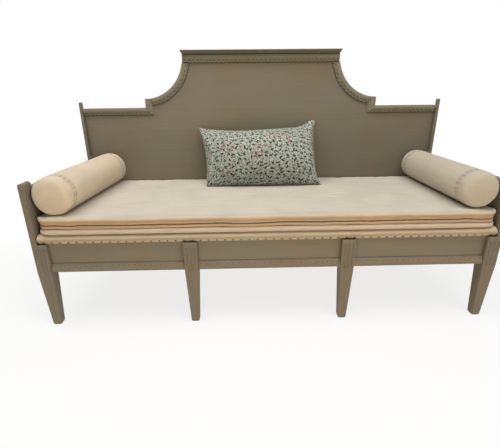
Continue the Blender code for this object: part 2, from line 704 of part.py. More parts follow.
def mattress():
    """The loose seat mattress, lofted up its profile from a round-cornered plan."""
    half_y = (SOFT_BACK - FRONT - CLEAR) / 2
    bm = bmesh.new()
    rings = []
    for inset, height in mattress_profile():
        radius = max(MATTRESS_CORNER_R - inset, MATTRESS_CORNER_R / 4)
        plan = rounded_rectangle(SOFT_HALF_X - inset, half_y - inset, radius)
        rings.append([bm.verts.new((x, y, height)) for x, y in plan])
    for lower, upper in zip(rings, rings[1:]):
        edges = []
        for ring in (lower, upper):
            for a, b in zip(ring, ring[1:] + ring[:1]):
                edges.append(bm.edges.get((a, b)) or bm.edges.new((a, b)))
        bmesh.ops.bridge_loops(bm, edges=edges)
    bm.faces.new(rings[0])
    bm.faces.new(rings[-1])
    at = (0.0, FRONT + CLEAR + half_y, MATTRESS_BOTTOM)
    obj = place("mattress", mesh_from(bm, "mattress"), LINEN, at)
    obj.data.shade_smooth()


def bolster_profile():
    """(radius, height) down a bolster, from the middle of one end to the middle of the other."""
    half = BOLSTER_L / 2
    piping = half - BOLSTER_END_BULGE
    rim = BOLSTER_R - BOLSTER_PIPING_R
    top = [(0.0, half), (0.40 * rim, half - 0.15 * BOLSTER_END_BULGE), (0.80 * rim, half - 0.62 * BOLSTER_END_BULGE)]
    for degrees in (100, 40, -20, -80):
        a = math.radians(degrees)
        top.append((rim + BOLSTER_PIPING_R * math.cos(a), piping + BOLSTER_PIPING_R * (math.sin(a) - 1)))
    top += [(0.985 * BOLSTER_R, 0.80 * half), (BOLSTER_R, 0.45 * half)]
    return top + [(r, -z) for r, z in reversed(top)]


def bolsters():
    """Two loose bolsters that lie along the arms, both turned a little so that their near ends swing to the left."""
    reach = BOLSTER_L / 2 * math.sin(BOLSTER_TURN)
    for side, name in SIDES:
        bm = bmesh.new()
        verts = [bm.verts.new((r, 0.0, z)) for r, z in bolster_profile()]
        for a, b in zip(verts, verts[1:]):
            bm.edges.new((a, b))
        mesh = bpy.data.meshes.new(f"{name}_bolster")
        bm.to_mesh(mesh)
        bm.free()
        middle_y = SOFT_BACK - 2 * BACK_MOULD_T - BOLSTER_L / 2
        gap = LEFT_BOLSTER_GAP if side < 0 else RIGHT_BOLSTER_GAP
        at = (side * (ARM_IN - gap - BOLSTER_R - reach), middle_y, MATTRESS_TOP + CLEAR + BOLSTER_R)
        obj = place(f"{name}_bolster", mesh, LINEN, at)
        obj.rotation_euler = Euler((math.pi / 2, 0.0, -BOLSTER_TURN))
        screw = obj.modifiers.new("turn", "SCREW")
        screw.axis = "Z"
        screw.steps = screw.render_steps = BOLSTER_STEPS
        screw.use_merge_vertices = True
        screw.merge_threshold = 1e-5
        screw.use_smooth_shade = True


def pillow():
    """The loose scatter pillow: a crowned form with drawn in sides that leans on the back on a straight foot."""
    bm = bmesh.new()
    for facing in (-1, 1):
        grid = bmesh.ops.create_grid(bm, x_segments=14, y_segments=10, size=1.0)["verts"]
        for vert in grid:
            u, v = vert.co.x, vert.co.y
            half = (PILLOW_FOOT_W + (PILLOW_TOP_W - PILLOW_FOOT_W) * (1 + v) / 2) / 2
            x = half * u * (1 - PILLOW_DRAW * (1 - v * v)) - PILLOW_SKEW / 2 * v
            sag = PILLOW_SAG * (1 - u * u) if v > 0 else 0.0
            z = PILLOW_H / 2 * v * (1 - sag) + PILLOW_SLOPE * u * (1 + v) / 2
            swell = max(0.0, (1 - u * u) * (1 - v * v)) ** 0.42
            vert.co = (x, facing * PILLOW_T / 2 * swell, z)
    bmesh.ops.remove_doubles(bm, verts=bm.verts, dist=1e-5)
    ears = {face for vert in bm.verts if len(vert.link_edges) == 2 for face in vert.link_faces}
    bmesh.ops.poke(bm, faces=list(ears))
    bmesh.ops.rotate(bm, verts=bm.verts, cent=(0, 0, 0), matrix=Euler((-PILLOW_LEAN, 0.0, 0.0)).to_matrix())
    lowest = min(v.co.z for v in bm.verts)
    rearmost = max(v.co.y for v in bm.verts)
    at = (-PILLOW_SHIFT, PANEL_FRONT - CLEAR - rearmost, MATTRESS_TOP + CLEAR - lowest)
    obj = place("pillow", mesh_from(bm, "pillow"), FLORAL, at)
    obj.data.shade_smooth()


SIDES = ((-1, "left"), (1, "right"))
seat_rails()
seat_bearers()
corner_blocks()
front_legs()
rear_legs()
rear_posts()
back_panel()
back_mouldings()
cornice()
apron_mouldings()
arms()
seat_deck()
mattress()
bolsters()
pillow()
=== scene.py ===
"""Gustavian sofa: carved and painted woodwork and loose linen upholstery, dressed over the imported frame."""

import functools
import math

import bmesh
import bpy
from bpy.props import FloatProperty, FloatVectorProperty, IntProperty, PointerProperty
from mathutils import Euler, Matrix, Vector
from mathutils.noise import noise


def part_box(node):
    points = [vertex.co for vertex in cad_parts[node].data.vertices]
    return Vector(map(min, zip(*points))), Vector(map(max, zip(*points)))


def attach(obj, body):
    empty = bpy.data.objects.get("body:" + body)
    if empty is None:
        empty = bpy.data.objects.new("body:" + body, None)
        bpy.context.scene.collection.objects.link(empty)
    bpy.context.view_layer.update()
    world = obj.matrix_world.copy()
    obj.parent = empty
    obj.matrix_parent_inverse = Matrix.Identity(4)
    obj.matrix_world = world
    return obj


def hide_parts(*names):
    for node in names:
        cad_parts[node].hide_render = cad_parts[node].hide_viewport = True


bl_info = {
    "name": "Gustavian sofa",
    "version": (1, 0, 0),
    "blender": (4, 5, 0),
    "location": "3D View > Sidebar > Sofa",
    "description": "Dresses a sofa's frame with carving, chalky paint, linen upholstery and a pillow",
    "category": "Object",
}

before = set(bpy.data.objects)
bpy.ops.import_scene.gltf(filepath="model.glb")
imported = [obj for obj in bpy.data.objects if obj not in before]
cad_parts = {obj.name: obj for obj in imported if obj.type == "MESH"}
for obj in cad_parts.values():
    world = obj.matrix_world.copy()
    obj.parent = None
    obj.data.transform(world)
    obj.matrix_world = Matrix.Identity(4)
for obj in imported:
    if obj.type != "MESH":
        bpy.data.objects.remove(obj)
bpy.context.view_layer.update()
SIDES = ((-1, "left"), (1, "right"))
FINE_WELD, WELD, CLOTH_WELD = 1e-7, 1e-6, 1e-5


def clamp(value):
    return min(1.0, max(0.0, value))


def bell(value, middle, width):
    """1 at the middle, falling off smoothly on both sides."""
    return math.exp(-((value - middle) / width) ** 2)


def swing(angle):
    """Swings from 1 to 0 and back once a turn."""
    return 0.5 + 0.5 * math.cos(angle)


# Sizes and colours that a user may change


def length(name, description, default):
    return FloatProperty(name=name, description=description, default=default, unit="LENGTH", precision=4)


def share(name, description, default):
    return FloatProperty(
        name=name, description=description, default=default, subtype="FACTOR", min=0.0, max=1.0)


def colour(name, description, default):
    return FloatVectorProperty(
        name=name, description=description, default=default, subtype="COLOR", size=3, min=0.0, max=1.0)


class SofaPaint(bpy.types.PropertyGroup):
    """The painted woodwork."""

    coat: colour("Paint", "The chalky grey-brown top coat", (0.227, 0.200, 0.144))
    warm: colour("Warm patches", "Where older, browner paint shows through", (0.234, 0.188, 0.120))
    # Dark brush marks use this colour, and it is also the painted shade in the carving's recesses, in inner
    # angles, at joints and under the cornice
    glaze: colour("Glaze", "Dark wax left in the hollows of the carving", (0.045, 0.034, 0.020))
    rubbed: colour("Rubbed edges", "Paler ground where hands have rubbed the edges", (0.335, 0.302, 0.232))
    wear: share("Wear", "How much of each edge is rubbed", 0.45)
    pine: colour("Bare pine", "Unpainted wood under the seat", (0.50, 0.36, 0.21))


class SofaCarving(bpy.types.PropertyGroup):
    """The carved mouldings."""

    leaf: length("Leaf width", "Width of one carved leaf along a run", 0.021)
    columns: IntProperty(
        name="Steps in a leaf", description="How finely each leaf is cut", default=10, min=4, max=24)
    back_width: length("Back moulding width", "Width of the moulding round the back", 0.036)
    back_depth: length("Back moulding depth", "How far it stands out", 0.016)
    apron_width: length("Apron moulding width", "Width of the moulding under the seat", 0.034)
    apron_depth: length("Apron moulding depth", "How far it stands out", 0.012)


class SofaLinen(bpy.types.PropertyGroup):
    """The seat and bolster covers."""

    cream: colour("Cream linen", "The mattress's top", (0.655, 0.605, 0.512))
    warm: colour("Warm linen", "The left bolster's cover", (0.74, 0.62, 0.46))
    # Painted shade: a darker, greyer copy of the bolster linen for the right bolster, which stands in shade
    shaded_linen: colour("Faded linen", "The right bolster's greyer cover", (0.60, 0.53, 0.42))
    # Partly the side's tan cloth and partly painted shade, strongest on the recessed middle band of the
    # mattress's side
    border_and_shade: colour("Border", "Tan cloth round the mattress's side", (0.675, 0.462, 0.268))
    # Painted light and shade: the deck colour is made paler as painted light at the top of the roll, where
    # the mattress shades it, and the deck shade colour is painted shade lower down towards the tacks
    deck: colour("Deck cover", "The fixed seat's cover", (0.74, 0.60, 0.43))
    deck_shade: colour("Deck shade", "Greyer cloth near the tacks", (0.56, 0.452, 0.30))
    slub: colour("Slub", "The grey-brown thick threads", (0.43, 0.38, 0.30))
    thread: length("Thread", "Width of one thread of the weave", 0.0012)
    stitch: length("Stitch spacing", "Distance between pulls along the mattress's grooves", 0.026)
    tack: length("Tack spacing", "Distance between the tacks along the deck", 0.032)


class SofaPrint(bpy.types.PropertyGroup):
    """The pillow's printed cotton."""

    ground: colour("Ground", "Grey-green cloth", (0.392, 0.405, 0.357))
    leaf: colour("Dark leaves", "Dark green leaves", (0.022, 0.040, 0.032))
    stem: colour("Light leaves", "Grey-green leaves", (0.17, 0.24, 0.185))
    bloom: colour("Red blooms", "Small red flowers", (0.44, 0.115, 0.095))
    bud: colour("Pink buds", "Small pink buds", (0.55, 0.31, 0.26))
    repeat: length("Sprig spacing", "Distance between the sprigs", 0.030)


class SofaStage(bpy.types.PropertyGroup):
    """The floor, the light and the camera."""

    floor: length("Floor", "Half the floor's side", 9.0)
    overhead: FloatProperty(
        name="Overhead light", description="Power of the soft light above", default=98.0, subtype="POWER")
    fill: FloatProperty(
        name="Room light", description="Strength of the light from all round", default=0.22, min=0.0)
    lens: FloatProperty(
        name="Lens", description="The camera's focal length", default=25.55, subtype="DISTANCE_CAMERA")


# Shader trees


class Tree:
    """Adds nodes to one shader tree. An input is a socket, which is linked, or a plain value."""

    def __init__(self, tree):
        self.tree = tree

    def add(self, kind, inputs=None, **settings):
        node = self.tree.nodes.new(kind if kind.startswith("NodeGroup") else "ShaderNode" + kind)
        for name, value in settings.items():
            setattr(node, name, value)
        for key, value in (inputs or {}).items():
            self.feed(node.inputs[key], value)
        return node

    def feed(self, socket, value):
        if isinstance(value, bpy.types.NodeSocket):
            self.tree.links.new(value, socket)
        else:
            socket.default_value = (*value, 1.0) if socket.type == "RGBA" else value

    def math(self, operation, first, *rest):
        for value in rest:
            first = self.add("Math", {0: first, 1: value}, operation=operation).outputs[0]
        return first

    plus = functools.partialmethod(math, "ADD")
    minus = functools.partialmethod(math, "SUBTRACT")
    times = functools.partialmethod(math, "MULTIPLY")
    over = functools.partialmethod(math, "DIVIDE")
    most = functools.partialmethod(math, "MAXIMUM")

    def vector(self, operation, a, b=(0.0, 0.0, 0.0)):
        node = self.add("VectorMath", {0: a, 1: b}, operation=operation)
        return node.outputs["Value" if operation in ("LENGTH", "DOT_PRODUCT") else "Vector"]

    def turned(self, vector, angle):
        inputs = {"Vector": vector, "Angle": angle}
        return self.add("VectorRotate", inputs, rotation_type="Z_AXIS").outputs[0]

    def stretch(self, vector, scale):
        return self.add("Mapping", {"Vector": vector, "Scale": scale}).outputs[0]

    def ramp(self, value, low, high, to_low=0.0, to_high=1.0):
        inputs = {0: value, 1: low, 2: high, 3: to_low, 4: to_high}
        return self.add("MapRange", inputs, interpolation_type="SMOOTHSTEP").outputs[0]

    def mix(self, amount, a, b):
        return self.add("Mix", {0: amount, 6: a, 7: b}, data_type="RGBA").outputs[2]

    def noise(self, vector, scale, detail, roughness):
        inputs = {"Vector": vector, "Scale": scale, "Detail": detail, "Roughness": roughness}
        return self.add("TexNoise", inputs).outputs[0]

    def place(self):
        return self.add("TexCoord").outputs["Object"]

    def cloth(self):
        return self.add("UVMap", uv_map="cloth").outputs[0]

    def attribute(self, name):
        return self.add("Attribute", attribute_name=name).outputs["Fac"]

    def seen(self):
        """1 for a ray from the camera, also by a mirror or through glass."""
        path = self.add("LightPath").outputs
        return self.most(path["Is Camera Ray"], path["Is Glossy Ray"], path["Is Transmission Ray"])

    def use(self, name, **inputs):
        """Places a shared group and returns its outputs."""
        return self.add("Group", inputs, node_tree=bpy.data.node_groups[name]).outputs


def group(name, inputs, outputs):
    """An empty node group with sockets named by kind: its tree, its input sockets and its output sockets."""
    made = bpy.data.node_groups.new(name, "ShaderNodeTree")
    for way, sockets in (("INPUT", inputs), ("OUTPUT", outputs)):
        for kind, names in sockets.items():
            for socket in names.split():
                made.interface.new_socket(name=socket, in_out=way, socket_type="NodeSocket" + kind)
    tree = Tree(made)
    return tree, tree.add("NodeGroupInput").outputs, tree.add("NodeGroupOutput").inputs


def start_material(name):
    made = bpy.data.materials.new(name)
    made.use_nodes = True
    return made, Tree(made.node_tree)


def finish_material(made, tree, height, bump, distance, **inputs):
    """Raises the height as a bump and feeds the shader, whose inputs are named with low lines for spaces."""
    raised = tree.add("Bump", {"Strength": bump, "Distance": distance, "Height": height}).outputs[0]
    shader = made.node_tree.nodes["Principled BSDF"]
    for socket, value in (*inputs.items(), ("Normal", raised)):
        tree.feed(shader.inputs[socket.replace("_", " ")], value)
    return made


BRUSH_MARK, EDGE_SAMPLES = 0.07, 4


def make_chalk_paint():
    """Brushed and blotchy paint, rubbed on its edges, with dark wax and painted shade in the carving's
    recesses and painted shade in inner angles and at joints.
    """
    tree, get, put = group(
        "chalk_paint",
        {"Vector": "Place Brush", "Color": "Coat Warm Glaze Rubbed", "Float": "Wear Hollow Corner"},
        {"Color": "Color", "Float": "Roughness Height"})
    streak = tree.noise(get["Brush"], 1.0, 5.0, 0.62)
    broad = tree.noise(get["Place"], 3.1, 3.0, 0.55)
    fine = tree.noise(get["Place"], 160.0, 3.0, 0.6)
    base = tree.mix(tree.ramp(broad, 0.40, 0.68), get["Coat"], get["Warm"])
    dark = tree.mix(BRUSH_MARK, base, get["Glaze"])
    pale = tree.mix(BRUSH_MARK, base, get["Rubbed"])
    base = tree.mix(tree.ramp(streak, 0.50, 0.30), base, dark)
    base = tree.mix(tree.ramp(streak, 0.54, 0.74), base, pale)
    soft = tree.add("Bevel", {"Radius": 0.0035}, samples=EDGE_SAMPLES).outputs[0]
    true = tree.add("NewGeometry").outputs["Normal"]
    edge = tree.ramp(tree.minus(1.0, tree.vector("DOT_PRODUCT", soft, true)), 0.03, 0.22)
    patch = tree.ramp(tree.noise(get["Place"], 38.0, 4.0, 0.65), 0.40, 0.62)
    rubbed = tree.times(edge, patch, get["Wear"])
    base = tree.mix(rubbed, base, get["Rubbed"])
    # Painted shade: ambient occlusion darkens the paint in inner angles, at joints and where other pieces
    # touch it, and the carving's mask adds painted shade in its recesses
    corner_shade = tree.add("AmbientOcclusion", {"Distance": 0.014}, samples=EDGE_SAMPLES).outputs["AO"]
    sunk = tree.most(get["Hollow"], tree.times(tree.ramp(corner_shade, 0.66, 0.24), get["Corner"]))
    sunk = tree.times(sunk, tree.ramp(fine, 0.2, 0.7, 0.75, 1.0))
    tree.feed(put["Color"], tree.mix(sunk, base, get["Glaze"]))
    worn = tree.plus(streak, tree.times(rubbed, 0.3))
    tree.feed(put["Roughness"], tree.ramp(worn, 0.3, 0.9, 0.62, 0.46))
    tree.feed(put["Height"], tree.plus(tree.times(streak, 0.8), tree.times(fine, 0.25)))


WAVE_PERIOD = 0.314


def make_linen_weave():
    """Warp and weft, with slubs, streaks and faint clouds."""
    tree, get, put = group(
        "linen_weave",
        {"Vector": "Cloth", "Float": "Thread Slubs", "Color": "Colour Slub"},
        {"Color": "Color", "Float": "Height"})
    cloth, slub = get["Cloth"], get["Slub"]
    scale = tree.over(WAVE_PERIOD, get["Thread"])
    threads = {"Vector": cloth, "Scale": scale, "Distortion": 0.6, "Detail": 1.0}
    weave = tree.most(*(tree.add("TexWave", threads, bands_direction=way).outputs["Fac"] for way in "XY"))
    long = tree.noise(tree.stretch(cloth, (9.0, 420.0, 1.0)), 1.0, 3.0, 0.6)
    cross = tree.noise(tree.stretch(cloth, (520.0, 16.0, 1.0)), 1.0, 2.0, 0.5)
    cloud = tree.noise(cloth, 7.0, 3.0, 0.5)
    streak = tree.noise(tree.stretch(cloth, (2.2, 120.0, 1.0)), 1.0, 3.0, 0.6)
    thick = tree.most(tree.ramp(long, 0.58, 0.74), tree.ramp(cross, 0.66, 0.82, 0.0, 0.55))
    shade = tree.mix(tree.ramp(cloud, 0.35, 0.7, 0.0, 0.22), get["Colour"], slub)
    shade = tree.mix(tree.times(tree.ramp(streak, 0.50, 0.72, 0.0, 0.5), get["Slubs"]), shade, slub)
    shade = tree.mix(tree.ramp(weave, 0.2, 0.9, 0.16, 0.0), shade, slub)
    tree.feed(put["Color"], tree.mix(tree.times(thick, get["Slubs"]), shade, slub))
    tree.feed(put["Height"], tree.plus(tree.times(weave, 0.5), thick))


# Ovals of the print as (x, y, turn) in a cell of size 1, and their half length and half width
LEAVES, LEAF_SIZE = ((0.04, 0.02, 0.30),), (0.33, 0.150)
DOTS = ((0.03, 0.17, 0.6), (0.18, 0.00, -0.5), (-0.13, 0.04, 1.4), (0.06, -0.17, -1.2), (-0.19, -0.15, 0.2))
DOT_SIZE = (0.115, 0.068)


def make_sprig():
    """Leaves and clusters of dots, one to a cell, each turned by chance."""
    tree, get, put = group(
        "sprig",
        {"Vector": "Cloth", "Float": "Repeat Random Turn"},
        {"Float": "Leaves Dots Chance Tint"})
    scale = tree.over(1.0, get["Repeat"])
    layout = {"Vector": get["Cloth"], "Scale": scale, "Randomness": get["Random"]}
    cells = tree.add("TexVoronoi", layout, voronoi_dimensions="2D").outputs
    chance = tree.add("SeparateColor", {0: cells["Color"]}).outputs
    angle = tree.plus(tree.times(tree.minus(chance[0], 0.5), 3.0), get["Turn"])
    local = tree.turned(tree.vector("SUBTRACT", get["Cloth"], cells["Position"]), angle)
    flat = tree.vector("MULTIPLY", local, (1.0, 1.0, 0.0))
    local = tree.add("VectorMath", {0: flat, "Scale": scale}, operation="SCALE").outputs[0]
    for name, places, (long, wide) in (("Leaves", LEAVES, LEAF_SIZE), ("Dots", DOTS, DOT_SIZE)):
        ovals = []
        for x, y, turn in places:
            at = tree.turned(tree.vector("SUBTRACT", local, (x, y, 0.0)), -turn)
            far = tree.vector("LENGTH", tree.vector("MULTIPLY", at, (1.0 / long, 1.0 / wide, 0.0)))
            ovals.append(tree.ramp(far, 1.12, 0.86))
        tree.feed(put[name], tree.most(*ovals))
    tree.feed(put["Chance"], chance[1])
    tree.feed(put["Tint"], chance[2])


def paint_material(context, name, brush, carved=False, light_and_shade=(1.0, 1.0, 1.0), rightward_shade=0.0):
    """Chalk paint whose brush marks run along the piece. light_and_shade scales the coat into a paler or
    darker copy as painted light or shade, and rightward_shade paints shade that darkens it towards the right."""
    paint = context.scene.sofa_paint
    made, tree = start_material(name)
    place = tree.place()
    right = tree.ramp(tree.add("SeparateXYZ", {0: place}).outputs["X"], -0.3, 0.6)
    coats = []
    for shade in (paint.coat, paint.warm):
        lit_coat = [c * k for c, k in zip(shade, light_and_shade)]
        coats.append(tree.mix(right, lit_coat, [c * (1.0 - rightward_shade) for c in lit_coat]))
    look = tree.use(
        "chalk_paint", Place=place, Brush=tree.stretch(place, brush), Coat=coats[0], Warm=coats[1],
        Glaze=paint.glaze, Rubbed=paint.rubbed, Wear=paint.wear,
        Hollow=tree.attribute("hollow") if carved else 0.0, Corner=0.3 if carved else 0.85)
    return finish_material(
        made, tree, look["Height"], bump=0.22, distance=0.0008,
        Base_Color=look["Color"], Roughness=look["Roughness"], Specular_IOR_Level=0.3)


def pine_material(context, name, brush):
    """Bare sawn pine with rings and saw marks."""
    pine = context.scene.sofa_paint.pine
    dark = [c * 0.55 for c in pine]
    made, tree = start_material(name)
    place = tree.place()
    grain = tree.noise(tree.stretch(place, brush), 1.0, 6.0, 0.6)
    broad = tree.stretch(place, [b * 0.18 for b in brush])
    growth = {"Vector": broad, "Scale": 1.0, "Distortion": 5.0, "Detail": 3.0}
    rings = tree.add("TexWave", growth).outputs["Fac"]
    base = tree.mix(tree.ramp(rings, 0.35, 0.9, 0.0, 0.55), pine, dark)
    base = tree.mix(tree.ramp(grain, 0.5, 0.75, 0.0, 0.5), base, dark)
    rough = tree.ramp(grain, 0.3, 0.7, 0.72, 0.6)
    return finish_material(made, tree, grain, bump=0.3, distance=0.0006, Base_Color=base, Roughness=rough)


GROOVE_SHADE = (0.085, 0.050, 0.024)


def linen_material(context, name, cloth, slubs, second=None):
    """Natural linen on the piece's own cloth map, with dark lines of painted shade in its stitched and
    gathered lines. A second colour shows, as a tanner cloth or as painted shade, where the piece's own mask
    says so."""
    linen = context.scene.sofa_linen
    made, tree = start_material(name)
    base = cloth if second is None else tree.mix(tree.attribute("border_and_shade"), cloth, second)
    weave = tree.use(
        "linen_weave", Cloth=tree.cloth(), Thread=linen.thread, Colour=base, Slub=linen.slub, Slubs=slubs)
    shade = tree.mix(tree.attribute("groove_shade"), weave["Color"], GROOVE_SHADE)
    return finish_material(
        made, tree, weave["Height"], bump=0.45, distance=0.0006, Base_Color=shade, Roughness=0.92,
        Sheen_Weight=0.18, Sheen_Roughness=0.5, Specular_IOR_Level=0.2)


# The print's layers as (shift of the cloth, share of the sprig spacing, turn): large, small, fine, flowers
PRINT_LAYERS = (((0.0, 0.0, 0.0), 0.86, 0.0), ((0.313, 0.127, 0.0), 0.54, 0.9),
                ((0.711, 0.417, 0.0), 0.36, 2.1), ((0.157, 0.619, 0.0), 1.15, 0.4))


def print_material(context):
    """Cotton with a small all-over print of single blooms and leaf sprigs."""
    look = context.scene.sofa_print
    made, tree = start_material("sprig_cotton")
    cloth = tree.cloth()
    weave = tree.use(
        "linen_weave", Cloth=cloth, Thread=0.0007, Colour=look.ground,
        Slub=[c * 0.72 for c in look.ground], Slubs=0.15)
    layers = []
    for shift, size, turn in PRINT_LAYERS:
        place = tree.vector("ADD", cloth, shift)
        layers.append(tree.use("sprig", Cloth=place, Repeat=look.repeat * size, Random=0.75, Turn=turn))
    large, small, fine, flower = layers
    pale = tree.mix(tree.ramp(fine["Tint"], 0.38, 0.42), look.stem, [c * 2.0 for c in look.ground])
    base = tree.mix(tree.times(fine["Leaves"], 0.85), weave["Color"], pale)
    green = tree.mix(tree.ramp(small["Chance"], 0.56, 0.60), look.leaf, look.stem)
    base = tree.mix(small["Leaves"], base, green)
    base = tree.mix(large["Leaves"], base, look.leaf)
    patch = tree.ramp(tree.noise(cloth, 9.0, 1.0, 0.4), 0.51, 0.56)
    bloom = tree.times(flower["Dots"], tree.times(patch, tree.ramp(flower["Chance"], 0.35, 0.40)))
    red = tree.mix(tree.ramp(flower["Tint"], 0.45, 0.50), look.bloom, look.bud)
    base = tree.mix(tree.times(bloom, 0.9), base, red)
    return finish_material(
        made, tree, weave["Height"], bump=0.3, distance=0.0004, Base_Color=base, Roughness=0.9,
        Sheen_Weight=0.1, Specular_IOR_Level=0.2)


def tack_material():
    """Dark hand-made iron tacks."""
    made, tree = start_material("iron_tack")
    rust = tree.noise(tree.place(), 420.0, 3.0, 0.6)
    base = tree.mix(tree.ramp(rust, 0.45, 0.7), (0.030, 0.024, 0.019), (0.085, 0.045, 0.022))
    rough = tree.ramp(rust, 0.4, 0.7, 0.38, 0.7)
    return finish_material(
        made, tree, rust, bump=0.2, distance=0.0004, Base_Color=base, Roughness=rough, Metallic=0.75)


# Making pieces


def linked(name, data):
    """A new object in the scene."""
    obj = bpy.data.objects.new(name, data)
    bpy.context.scene.collection.objects.link(obj)
    return obj


def loose_object(bm, name):
    """A plain object from a bmesh, which is used up."""
    mesh = bpy.data.meshes.new(name)
    bm.to_mesh(mesh)
    bm.free()
    return linked(name, mesh)


def weld(bm, dist):
    """Joins points that meet and turns all faces outward."""
    bmesh.ops.remove_doubles(bm, verts=bm.verts, dist=dist)
    bmesh.ops.recalc_face_normals(bm, faces=bm.faces)


def open_edges(bm):
    return [e for e in bm.edges if e.is_boundary]


def dress(obj, finish):
    obj.data.materials.clear()
    obj.data.materials.append(finish)
    obj.data.shade_smooth()


def stand_in(obj, body, nodes):
    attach(obj, body)
    if nodes:
        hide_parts(*nodes)
    return obj


def finish_piece(bm, name, finish, body, nodes, smooth):
    """Turns a bmesh into a piece that rides on a body and stands for its CAD nodes. Edges bent by more than
    smooth degrees stay sharp."""
    weld(bm, WELD)
    obj = loose_object(bm, name)
    dress(obj, finish)
    obj.data.set_sharp_from_angle(angle=math.radians(smooth))
    return stand_in(obj, body, nodes)


def drawn_run(points, length, steps):
    """A closed section (across, out) drawn along local X in equal steps: a grid rolled round the section."""
    bm = bmesh.new()
    rows = len(points)
    for vert in bmesh.ops.create_grid(bm, x_segments=steps, y_segments=rows, size=0.5)["verts"]:
        across, out = points[round((vert.co.y + 0.5) * rows) % rows]
        vert.co = ((vert.co.x + 0.5) * length, across, out)
    bmesh.ops.remove_doubles(bm, verts=bm.verts, dist=FINE_WELD)
    bmesh.ops.edgeloop_fill(bm, edges=open_edges(bm))
    bmesh.ops.recalc_face_normals(bm, faces=bm.faces)
    return bm


def trim(bm, point, normal):
    """Cuts away what lies beyond a plane and closes the cut."""
    geom = [*bm.verts, *bm.edges, *bm.faces]
    bmesh.ops.bisect_plane(
        bm, geom=geom, plane_co=point, plane_no=normal, clear_outer=True, dist=FINE_WELD)
    bmesh.ops.holes_fill(bm, edges=open_edges(bm))


def cloth_layer(bm):
    return bm.loops.layers.uv.get("cloth") or bm.loops.layers.uv.new("cloth")


def box_cloth_map(bm):
    """A cloth map in metres, laid on each face from the side it faces most."""
    layer = cloth_layer(bm)
    for face in bm.faces:
        n = [abs(c) for c in face.normal]
        for loop in face.loops:
            x, y, z = loop.vert.co
            loop[layer].uv = (x, y) if n[2] >= max(n[0], n[1]) else (x, z) if n[1] >= n[0] else (y, z)


def swell(obj, pins, pressure, frames, cap, shrink, bending):
    """Fills a closed cover by cloth pressure with gravity off. Its pins stay, and no point moves further
    than cap."""
    held = obj.vertex_groups.new(name="held")
    held.add(pins, 1.0, "REPLACE")
    cloth = obj.modifiers.new("swell", "CLOTH")
    cloth.settings.quality = 5
    cloth.settings.use_pressure = True
    cloth.settings.uniform_pressure_force = pressure
    cloth.settings.shrink_min = shrink
    cloth.settings.bending_stiffness = bending
    cloth.settings.effector_weights.gravity = 0.0
    cloth.collision_settings.use_collision = False
    cloth.settings.vertex_group_mass = "held"
    cloth.point_cache.frame_start = 1
    cloth.point_cache.frame_end = frames
    for step in range(1, frames + 1):
        bpy.context.scene.frame_set(step)
    made = obj.evaluated_get(bpy.context.evaluated_depsgraph_get()).data
    moved = [vert.co.copy() for vert in made.vertices]
    obj.modifiers.remove(cloth)
    bpy.context.scene.frame_set(1)
    obj.vertex_groups.clear()
    for vert, co in zip(obj.data.vertices, moved):
        step = co - vert.co
        vert.co += step if step.length <= cap else step * (cap / step.length)


def subdivided(obj):
    """Applies one level of subdivision to a piece's own mesh."""
    fine = obj.modifiers.new("fine", "SUBSURF")
    fine.levels = fine.render_levels = 1
    fine.uv_smooth = "NONE"
    made = bpy.data.meshes.new_from_object(obj.evaluated_get(bpy.context.evaluated_depsgraph_get()))
    obj.modifiers.remove(fine)
    old, name = obj.data, obj.data.name
    obj.data = made
    bpy.data.meshes.remove(old)
    made.name = name


# Woodwork


LENGTHWISE, UPRIGHT, CROSSWISE = (3.2, 150.0, 150.0), (150.0, 150.0, 4.5), (150.0, 4.5, 150.0)


class SOFA_OT_paint_frame(bpy.types.Operator):
    """Give the frame's boards and legs their paint, and the wood under the seat its bare pine"""

    bl_idname = "sofa.paint_frame"
    bl_label = "Paint the frame"

    def execute(self, context):
        plain = paint_material(context, "chalk_paint_lengthwise", LENGTHWISE)
        # Painted shade: the back's coat darkens towards its right end
        back = paint_material(context, "chalk_paint_back", LENGTHWISE, rightward_shade=0.13)
        # Painted shade: a darker copy of the coat for the legs and posts
        tall = paint_material(context, "chalk_paint_upright", UPRIGHT, light_and_shade=(0.90, 0.90, 0.93))
        deep = paint_material(context, "chalk_paint_crosswise", CROSSWISE)
        long_pine = pine_material(context, "bare_pine_lengthwise", (4.0, 90.0, 90.0))
        deep_pine = pine_material(context, "bare_pine_crosswise", (90.0, 4.0, 90.0))
        finishes = (
            ("slat", deep_pine), ("stretcher", deep_pine), ("block", deep_pine), ("ledger", long_pine),
            ("back_panel", back), ("leg", tall), ("post", tall), ("side", deep), ("arm", deep), ("", plain))
        for name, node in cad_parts.items():
            for held in node.material_slots:
                held.material = next(finish for word, finish in finishes if word in name)
        return {"FINISHED"}


# The moulding's plain height as (share of the width, share of the depth), and its columns over the width
SECTION = ((0.0, 0.94), (0.30, 1.0), (0.40, 0.96), (0.65, 0.70), (0.85, 0.44), (1.0, 0.28))
ACROSS = (0.0, 0.12, 0.24, 0.335, 0.37, 0.42, 0.48, 0.54, 0.60, 0.66, 0.71, 0.76, 0.80, 0.84, 0.88, 0.915,
          0.94, 0.97, 1.0)
LEAF_START, LEAF_REACH, LEAF_LINE = 0.30, 0.625, 0.925


def section_height(across):
    """The moulding's plain height at a share of its width, as a share of its depth."""
    for (a, low), (b, high) in zip(SECTION, SECTION[1:]):
        if across <= b:
            return low + (high - low) * (across - a) / (b - a)
    return SECTION[-1][1]


